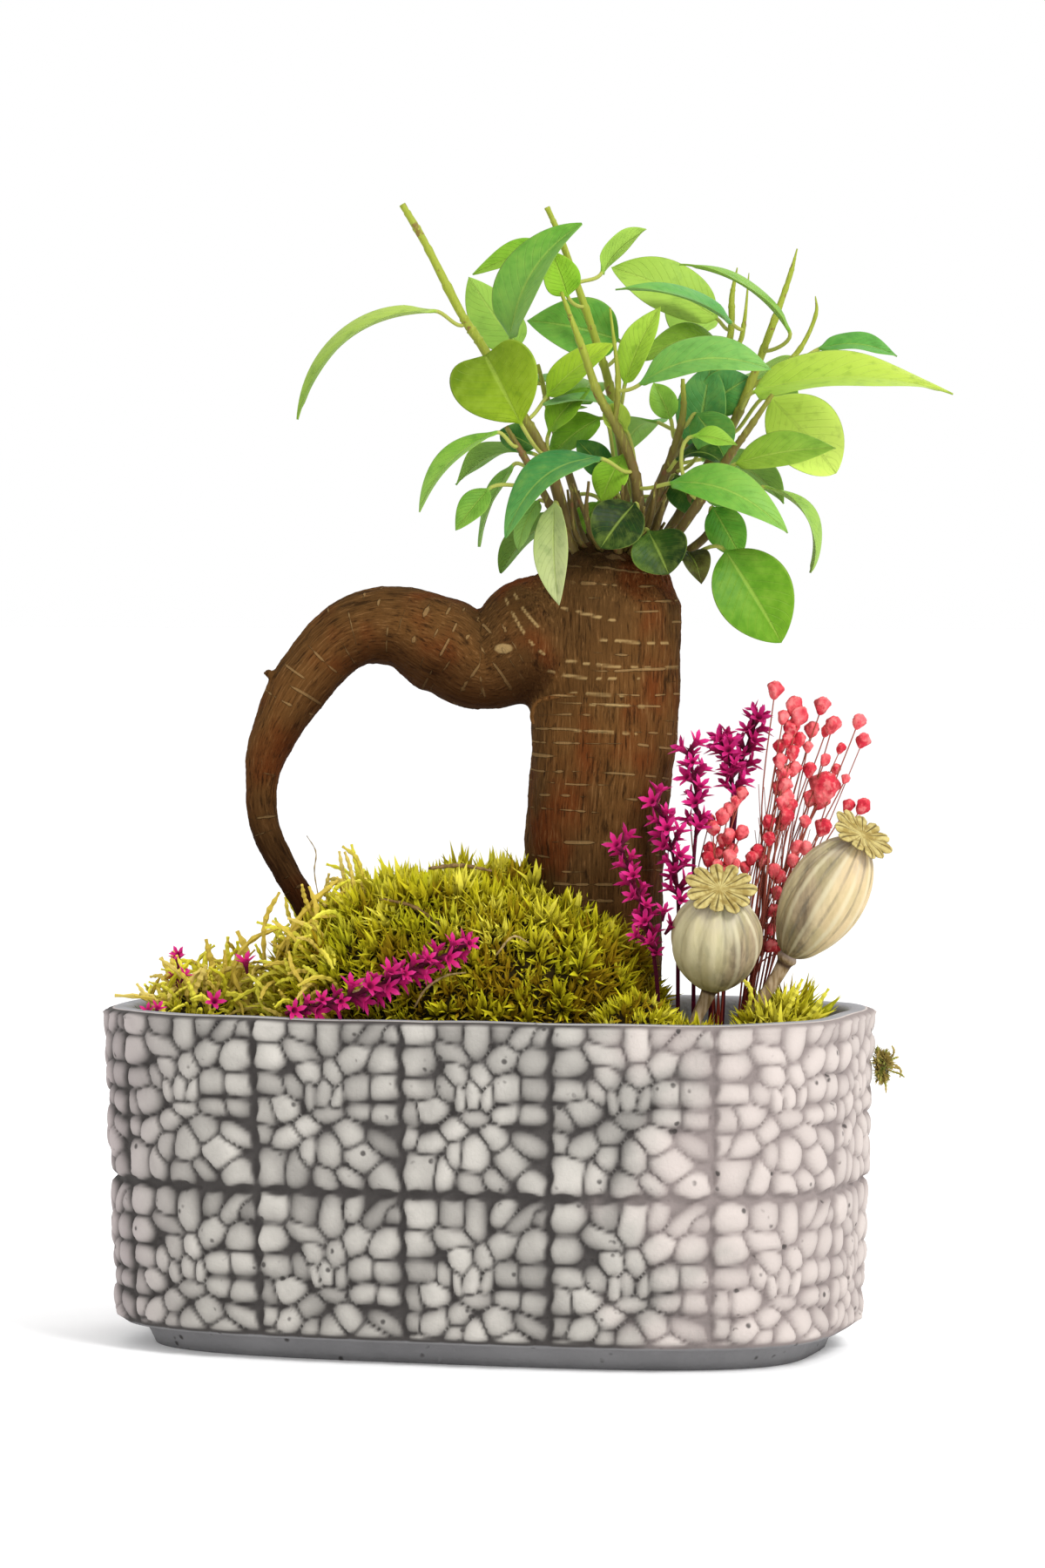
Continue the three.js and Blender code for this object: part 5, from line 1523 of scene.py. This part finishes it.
def crown(foot, way, length, reach):
    profile = np.array([(share, 0, height) for share, height in CROWN_PROFILE])

    def ray_of(u):
        return np.abs(np.cos(RAYS * np.pi * u))

    def place_of(u, v):
        middle = along_route(profile, v)
        angle = 2 * np.pi * u
        ray = ray_of(u)
        share = np.clip(middle[:, 0], 0, 1)
        scallop = 0.66 + 0.34 * ray**0.4
        size = reach * share * (1 - (1 - scallop) * soft_step(share, 0.5, 0.95))
        size *= 1 + 0.05 * np.sin(5 * angle + 1)
        groove = np.exp(-(((1 - ray) / 0.02) ** 2)) - 0.9 * ray**2
        top = middle[:, 2] - 0.75 * soft_step(share, 0.1, 0.5) * (groove + 0.9) * (v < 0.55)
        top += 1.1 * soft_step(share, 0.3, 1) * np.sin(3 * angle) * 0.5
        places = np.stack((size * np.cos(angle), size * np.sin(angle), top), -1)
        return turned_up(places, foot + way * (length + 0.8), unit(way + CROWN_LEAN))

    def grain(u, v):
        share = np.clip(along_route(profile, v)[:, 0], 0, 1)
        return np.stack((ray_of(u), share, (v < 0.55) * 1.0), 1)

    return close_up(sheet_of_quads(POD_COLUMNS, CROWN_ROWS, place_of, grain=grain))


def stalk_rings(angle, share):
    knots = np.exp(-(((share - 0.86) / 0.035) ** 2)) * 0.35
    knots = knots + np.exp(-(((share - 0.3) / 0.05) ** 2)) * 0.18
    return 1 + knots + 0.05 * np.sin(3 * angle + 9 * share)


def painted(shape, number):
    for face in shape.faces:
        face.material_index = number
    return shape


pod_skin, place = finish("poppy_pod_skin", Specular_IOR_Level=0.3)
grain = place.mark("grain", "Vector")
rib = grain.axis("X")
height_up = grain.axis("Y")
side = grain.axis("Z")
streak = place.noise((260, 260, 70), 4, 0.6)
mottle = place.noise((150, 150, 60), 4)
colour = streak.rise(0.34, 0.66).mix(tint(172, 168, 136), tint(216, 208, 170))
slope = place.axis("X") - 0.43 * (place.axis("Z") - 0.14)
brown = streak.rise(0.3, 0.7).mix(tint(112, 94, 74), tint(176, 154, 120))
colour = (slope.rise(0.086, 0.094) * (1 - slope.rise(0.105, 0.113)) * 0.9).mix(colour, brown)
colour = (slope.rise(0.105, 0.113) * 0.85).mix(colour, tint(222, 196, 150))
colour = (mottle.rise(0.42, 0.66) * 0.5).mix(colour, tint(180, 168, 120))
colour = ((rib + 0.8 * mottle).rise(0.9, 1.5) * 0.7).mix(colour, tint(222, 212, 176))
colour = ((1 - (rib + 0.7 * streak).rise(-0.75, -0.35)) * 0.55).mix(colour, tint(112, 106, 92))
colour = ((side + mottle).rise(0.7, 1.6) * 0.6).mix(colour, tint(214, 200, 152))
colour = (height_up.rise(0.5, 0.84) * streak.rise(0.4, 0.62) * 0.65).mix(colour, tint(134, 120, 128))
colour = (height_up.rise(0.84, 0.93) * 0.85).mix(colour, tint(92, 80, 62))
colour = (mottle.rise(0.68, 0.74) * 0.5).mix(colour, tint(96, 84, 72))
lay(pod_skin, colour, 0.62 + 0.2 * mottle, streak * 0.6 + mottle * 0.6, 0.0006)

crown_skin, place = finish("poppy_crown_skin", Specular_IOR_Level=0.25)
grain = place.mark("grain", "Vector")
ray = grain.axis("X")
reach = grain.axis("Y")
upper = grain.axis("Z")
mottle = place.noise(420, 3)
colour = mottle.rise(0.35, 0.65).mix(tint(200, 184, 118), tint(160, 138, 72))
colour = (ray.rise(0.955, 0.995) * upper * reach.rise(0.05, 0.3) * 0.85).mix(colour, tint(88, 70, 30))
colour = ((1 - ray.rise(0.1, 0.5)) * 0.6).mix(colour, tint(128, 104, 48))
colour = (reach.rise(0.85, 1.0) * 0.35).mix(colour, tint(226, 208, 136))
lay(crown_skin, colour, 0.7 + 0.15 * mottle, mottle, 0.0004)

stalk_skin, place = finish("poppy_stalk_skin", Specular_IOR_Level=0.25)
share = place.mark("share")
streak = place.noise((900, 900, 120), 3)
colour = streak.rise(0.35, 0.65).mix(tint(196, 172, 140), tint(148, 122, 84))
off_knot = (share - 0.8).maths("ABSOLUTE")
colour = off_knot.rise(0.0, 0.05).mix(tint(84, 62, 46), colour)
colour = share.rise(0.84, 0.93).mix(colour, tint(196, 178, 170))
colour = (1 - share.rise(0.1, 0.45)).mix(colour, tint(132, 122, 62))
lay(stalk_skin, colour, 0.7 + 0.15 * streak, streak, 0.0004)

for name, (foot, way, radius, length, reach, stalk) in POPPIES.items():
    way = unit(np.array(way, float))
    inside = np.array(foot, float) + way * 3
    head = painted(pod(foot, way, radius, length, len(name)), 0)
    add_shape(head, painted(crown(foot, way, length, reach), 1))
    stem = limb((*stalk, tuple(inside)), STALK_RADII, 20, 60, stalk_rings)
    add_shape(head, painted(stem, 2))
    piece = set_down("poppy_head_" + name, head, pod_skin, "poppy", "poppy_" + name)
    piece.data.materials.append(crown_skin)
    piece.data.materials.append(stalk_skin)

# Star-flower sprigs
# Dried sprigs dyed magenta, each a wiry stem with papery funnels that open in five sharp
# points. One lies on the moss in front, a short one stands at the left, and the others are
# pushed in beside and behind the poppies. A few flowers have come off and lie in the moss.

SPRIGS = {
    # route, how many flowers, where along it they start, flower size
    "front": (((-63, -45, 106), (-42, -50, 112), (-26, -51, 119), (-8, -50, 127)), 26, 0.02, 1.05),
    "left": (((-93, 10, 92.3), (-99, 4, 108), (-98, 2, 120)), 5, 0.45, 0.75),
    "right_1": (((51, -30, 92.3), (50, -30, 118), (46, -30, 137), (39, -30, 157)), 15, 0.4, 1),
    "right_2": (((57, -22, 92.3), (57, -21, 122), (57, -21, 140), (55, -22, 155), (50, -24, 170)), 15,
                0.46, 1),
    "right_3": (((62, -15, 92.3), (62, -15, 125), (62, -15, 150), (63, -16, 168), (60.5, -18, 186)), 13,
                0.62, 1),
    "right_4": (((67, -8, 92.3), (69, -8, 130), (74, -7, 163), (74, -7, 178), (71.5, -7, 188)), 15,
                0.6, 1.05),
    "right_5": (((71, 0, 92.3), (73, 2, 130), (76, 5, 168), (78, 5, 182), (83, 3, 196)), 12, 0.62, 1),
}
LOOSE_FLOWERS = (
    # place and way of single flowers that lie in the moss
    ((-106, -20, 103), (-0.2, -0.6, 0.8)), ((-104, -22, 104), (0.3, -0.5, 0.8)),
    ((-76, -18, 117), (-0.1, -0.4, 0.9)), ((-86, -30, 107), (0.2, -0.8, 0.5)),
    ((-97, -6, 113), (0.4, -0.3, 0.8)), ((50, -34, 125), (-0.5, -0.5, 0.7)),
    ((53, -35, 130), (0.5, -0.5, 0.7)), ((46, -36, 128), (-0.7, -0.5, 0.5)),
    ((52, -34, 134), (0.1, -0.5, 0.9)), ((56, -24, 158), (0.4, -0.4, 0.8)),
)
GOLDEN_ANGLE = np.pi * (3 - np.sqrt(5))
POINTS_REACH, FUNNEL_REACH = 3.6, 1.1
LIP_ROW = 4
LIP_SHADES = (0, 0, 0.15, 0.45, 0.75, 0.6, 0.3, 0.1)
STAR_SIZES = (0.85, 1.0, 1.15)
LOOSE_SIZE = 0.9
FULLNESS = 1.35
SPRIG_RADII = (0.75, 0.7, 0.6, 0.4)
STAR_SEED = 31
ANY_SPIN = 6.3
STAR_ROWS = ((0, -0.8), (0.42, -0.6), (0.62, 1.4), (1.0, 3.2), (1.5, 4.2), (1.0, 3.7), (0.5, 2.6), (0, 2))


def star_flower(size):
    """One papery funnel that opens in five sharp points, closed, standing at zero."""
    rows = np.array(STAR_ROWS)
    last = len(rows) - 1

    def place_of(u, v):
        row = row_at(v, last)
        angle = 2 * np.pi * u
        point = np.abs(np.cos(2.5 * angle)) ** 1.7
        lip = row == LIP_ROW
        radius = np.where(lip, FUNNEL_REACH + (POINTS_REACH - FUNNEL_REACH) * point, rows[row, 0])
        height = np.where(lip, 3.8 + 1.5 * point, rows[row, 1])
        return np.stack((radius * np.cos(angle), radius * np.sin(angle), height), -1) * size

    def share_of(u, v):
        row = row_at(v, last)
        point = np.abs(np.cos(2.5 * 2 * np.pi * u)) ** 1.7
        return np.where(row == LIP_ROW, 0.6 + 0.4 * point, np.array(LIP_SHADES)[row])

    return close_up(sheet_of_quads(20, last, place_of, share=share_of))


def sprig_flowers(route, count, start, draw):
    """The foot and way of each flower, in a spiral up the sprig."""
    t = np.linspace(start, 0.99, count)
    feet = along_route(route, t)
    ways = unit(along_route(route, t + 1e-3) - along_route(route, t - 1e-3))
    first = square_to(ways, (0.3, -1, 0.2))
    turn = np.arange(count) * GOLDEN_ANGLE
    across = np.cos(turn)[:, None] * first + np.sin(turn)[:, None] * np.cross(ways, first)
    return feet, unit(across * 0.95 + ways * draw.uniform(0.6, 1.4, (count, 1)))


def set_on(whole, flower, foot, way, size, spin):
    """Adds a copy of a flower to a shape, on its foot and along its way."""
    mesh, rest = flower
    spun = rest @ np.array(Matrix.Rotation(spin, 3, "Z")).T
    mesh.vertices.foreach_set("co", turned_up(spun * size, foot, way).ravel())
    whole.from_mesh(mesh)


dyed_star, place = finish("magenta_star_flower", Specular_IOR_Level=0.2)
share = place.mark("share")
patch = place.noise(160, 3)
colour = share.rise(0.1, 0.72).mix(tint(82, 5, 38), tint(196, 14, 106))
colour = (share.rise(0.6, 1.0) * 0.6).mix(colour, tint(228, 66, 156))
colour = (patch.rise(0.5, 0.7) * 0.5).mix(colour, tint(136, 8, 62))
lay(dyed_star, colour, 0.72 + 0.15 * patch, patch, 0.0003)

draw = np.random.RandomState(STAR_SEED)
stars = [pattern("star", star_flower(size)) for size in STAR_SIZES]
for name, (route, count, start, size) in SPRIGS.items():
    sprig = limb(route, SPRIG_RADII, 6, 24)
    stem_share = sprig.verts.layers.float["share"]
    for vert in sprig.verts:
        vert[stem_share] = 0
    feet, ways = sprig_flowers(route, int(count * FULLNESS), start, draw)
    for foot, way in zip(feet, ways):
        star = stars[draw.randint(len(stars))]
        set_on(sprig, star, foot, way, size, draw.uniform(0, ANY_SPIN))
    set_down("sprig_of_stars_" + name, sprig, dyed_star, "statice", "sprig_" + name, smooth=False)
loose = bmesh.new()
loose.verts.layers.float.new("share")
for foot, way in LOOSE_FLOWERS:
    set_on(loose, stars[draw.randint(len(stars))], foot, unit(np.array(way)), LOOSE_SIZE, 0)
set_down("loose_star_flowers", loose, dyed_star, "statice", smooth=False)

# Round-flower sprays
# Dried sprays dyed coral red, with little crumpled balls of petals on hair-thin stems.
# Three bundles of them are pushed into the moss behind the poppies.

SPRAYS = {
    # foot, neck, then the flower balls
    "left": ((69, -14, 92.3), (69, -14, 128), (
        (77, -14, 172, 1.0), (75, -14, 169.5, 0.9), (73, -13, 167, 1.1), (71, -14, 165, 1.2),
        (77, -15, 160, 1.1), (67, -12, 163.5, 1.0), (68, -16, 161.5, 1.1), (73, -15, 159, 1.1),
        (71, -13, 157.5, 1.0), (67, -14, 155, 1.0), (74, -13, 154.5, 1.0), (61, -12, 163.5, 0.7),
        (66.5, -15, 152, 1.1), (73, -16, 152.5, 1.1), (70, -12, 153.5, 1.0), (69, -16, 149.5, 1.1),
        (75, -12, 150, 0.9), (72, -15, 148, 1.0),
    )),
    "middle": ((76, -12, 92.3), (80, -10, 125), (
        (87.5, -6, 204, 1.25), (90, -8, 195.5, 1.0), (93.5, -6, 199, 1.4), (95, -8, 196, 1.4),
        (92.5, -7, 192, 1.3), (95, -5, 188.5, 1.1), (89, -6, 186.5, 1.0), (93, -8, 184.5, 1.1),
        (89, -9, 182, 1.1), (93.5, -6, 179.5, 1.1), (90, -7, 178, 1.2), (90.5, -9, 174.5, 1.1),
        (88.5, -6, 173.5, 1.0), (92, -7, 168, 1.2), (91, -9, 165, 1.2), (90, -6, 163, 1.2),
        (85.5, -9, 163, 1.1), (94.5, -6, 155, 1.1), (97, -8, 155, 1.0), (93, -7, 151, 1.0),
        (85.5, -11, 158, 1.0), (82, -10, 154, 1.1), (80, -12, 152, 1.0), (87, -9, 148, 1.1),
        (89, -7, 146, 1.0), (87, -10, 135.5, 1.0), (86, -8, 129.5, 1.0), (86, -11, 124.5, 1.1),
        (90, -9, 123, 1.1), (88, -8, 141, 1.0), (91, -8, 171, 1.1), (91.5, -7, 188.5, 1.1),
        (89.5, -10, 169, 1.0), (84, -9, 151, 0.9), (78, -11, 149, 0.9),
    )),
    "right": ((80, -4, 92.3), (86, -2, 125), (
        (102.5, 0, 199, 1.25), (99.5, 3, 191.5, 1.15), (98, 0, 186, 0.8), (106, 2, 193, 1.25),
        (104, 4, 191, 0.9), (108.5, 3, 185.5, 0.8), (103.5, 1, 182, 0.9), (114, 2, 194, 1.1),
        (115.5, 4, 188, 1.1), (98.5, -1, 179, 1.1), (103.5, 2, 173.5, 2.3), (99, 3, 170, 1.2),
        (102.5, 3, 169.5, 1.4), (111, 4, 167.5, 1.0), (115.5, 4, 167.5, 1.2), (103, 1, 161, 1.3),
        (97, -2, 163, 0.9), (107, 3, 179, 0.8), (110, 2, 176, 0.7),
    )),
}
BALL_RADIUS = 1.85
BALL_KINDS = 5
STEM_RADII, SIDE_RADII = (0.36, 0.28, 0.22, 0.2), (0.24, 0.2, 0.12)
BALL_SEED = 41


def petal_ball(seed):
    """One crumpled ball of petals, drawn in to its stem, standing at zero."""

    def place_of(u, v):
        angle, rise = 2 * np.pi * u, np.pi * (v - 0.5)
        crease = 1 + 0.2 * np.sin(5 * angle + seed + 2 * v) * np.cos(rise)
        crease += 0.2 * np.sin(3 * angle - 2 * seed + 11 * v) * np.cos(rise)
        level = np.cos(rise) * crease * (0.72 + 0.28 * soft_step(v, 0.1, 0.6))
        top = np.sin(rise) * np.where(v < 0.5, 1.5, 1.05)
        top += 0.14 * np.sin(5 * angle + seed) * (v > 0.75) * (v < 0.99)
        return np.stack((level * np.cos(angle), level * np.sin(angle), top), -1) * BALL_RADIUS

    return close_up(sheet_of_quads(14, 10, place_of, share=lambda u, v: v))


dyed_ball, place = finish("coral_flower_ball", Specular_IOR_Level=0.2)
share = place.mark("share")
patch = place.noise(420, 3)
wide = place.noise(130, 1)
colour = wide.rise(0.38, 0.62).mix(tint(214, 50, 68), tint(248, 108, 114))
colour = (patch.rise(0.48, 0.62) * 0.5).mix(colour, tint(252, 156, 152))
colour = ((1 - patch.rise(0.3, 0.48)) * 0.55).mix(colour, tint(172, 26, 46))
# painted highlight on the tops of the balls
colour = (share.rise(0.75, 1.0) * 0.4).mix(colour, tint(244, 138, 132))
lay(dyed_ball, colour, 0.75 + 0.15 * patch, patch, 0.0008)

hair_stem, place = finish("spray_stem", Specular_IOR_Level=0.25)
height_up = (place.axis("Z") + 0.02 * place.noise(200, 2)).rise(0.1, 0.16)
colour = height_up.mix(tint(118, 30, 16), tint(160, 82, 64))
lay(hair_stem, colour, 0.6 + 0.2 * place.noise(500, 2))

draw = np.random.RandomState(BALL_SEED)
balls = [pattern("ball", painted(petal_ball(seed * 1.7), 1)) for seed in range(BALL_KINDS)]
for name, (foot, neck, heads) in SPRAYS.items():
    foot, neck = np.array(foot, float), np.array(neck, float)
    spray = bmesh.new()
    spray.verts.layers.float.new("share")
    for number, (x, y, z, size) in enumerate(heads):
        head = np.array((x, y, z), float)
        low = foot + np.append(draw.normal(0, 1.4, 2), 0) if number % 3 == 0 else bundle
        bundle = (neck - (0, 0, 9)) * 0.85 + head * 0.15 + draw.normal(0, 2, 3)
        bundle[2] = min(bundle[2], z - 6)
        bend = bundle * 0.45 + head * 0.55 + np.array((-1.5, 0, 0)) + draw.normal(0, 1, 3)
        add_shape(spray, limb((low, bundle, bend, head), STEM_RADII, 4, 14))
        way = unit(head - bend + draw.normal(0, 1.5, 3))
        set_on(spray, balls[number % len(balls)], head, way, size, draw.uniform(0, ANY_SPIN))
        if number % 3 == 0:
            side = bend + np.array((draw.uniform(-5, 5), draw.uniform(-3, 3), draw.uniform(4, 10)))
            halfway = bend * 0.5 + bundle * 0.5
            add_shape(spray, limb((bundle, halfway, side), SIDE_RADII, 3, 6))
    piece = set_down("spray_of_balls_" + name, spray, hair_stem, "gypsophila", "spray_" + name)
    piece.data.materials.append(dyed_ball)

# Floor and light
# A plain pale ground, and soft studio light: the main lamp stands high at the right front,
# a weaker one behind, and a white room lights the rest.

FLOOR_HALF = 30
LIGHT_AIM = (0, 0, 0.15)
LIGHTS = {
    # place, width, power
    "key": ((1.3, -0.9, 1.4), 0.7, 28),
    "back": ((0.5, 1.4, 1.5), 1.2, 7),
}

floor_shape = bmesh.new()
bmesh.ops.create_grid(floor_shape, x_segments=1, y_segments=1, size=FLOOR_HALF)
ground = put_in("ground", mesh_of("ground", floor_shape))
pale, _ = finish(
    "pale_ground", Base_Color=(0.97, 0.97, 0.97, 1), Roughness=0.95, Emission_Color=(1, 1, 1, 1),
    Emission_Strength=0.06,
)
ground.data.materials.append(pale)
for name, (place, width, power) in LIGHTS.items():
    lamp = bpy.data.lights.new(name, "AREA")
    lamp.shape = "DISK"
    lamp.size = width
    lamp.energy = power
    put_in(name, lamp, place, LIGHT_AIM)
world = bpy.data.worlds.new("studio")
world.use_nodes = True
world.node_tree.nodes["Background"].inputs["Color"].default_value = (1, 1, 1, 1)
world.node_tree.nodes["Background"].inputs["Strength"].default_value = 1.0
bpy.context.scene.world = world
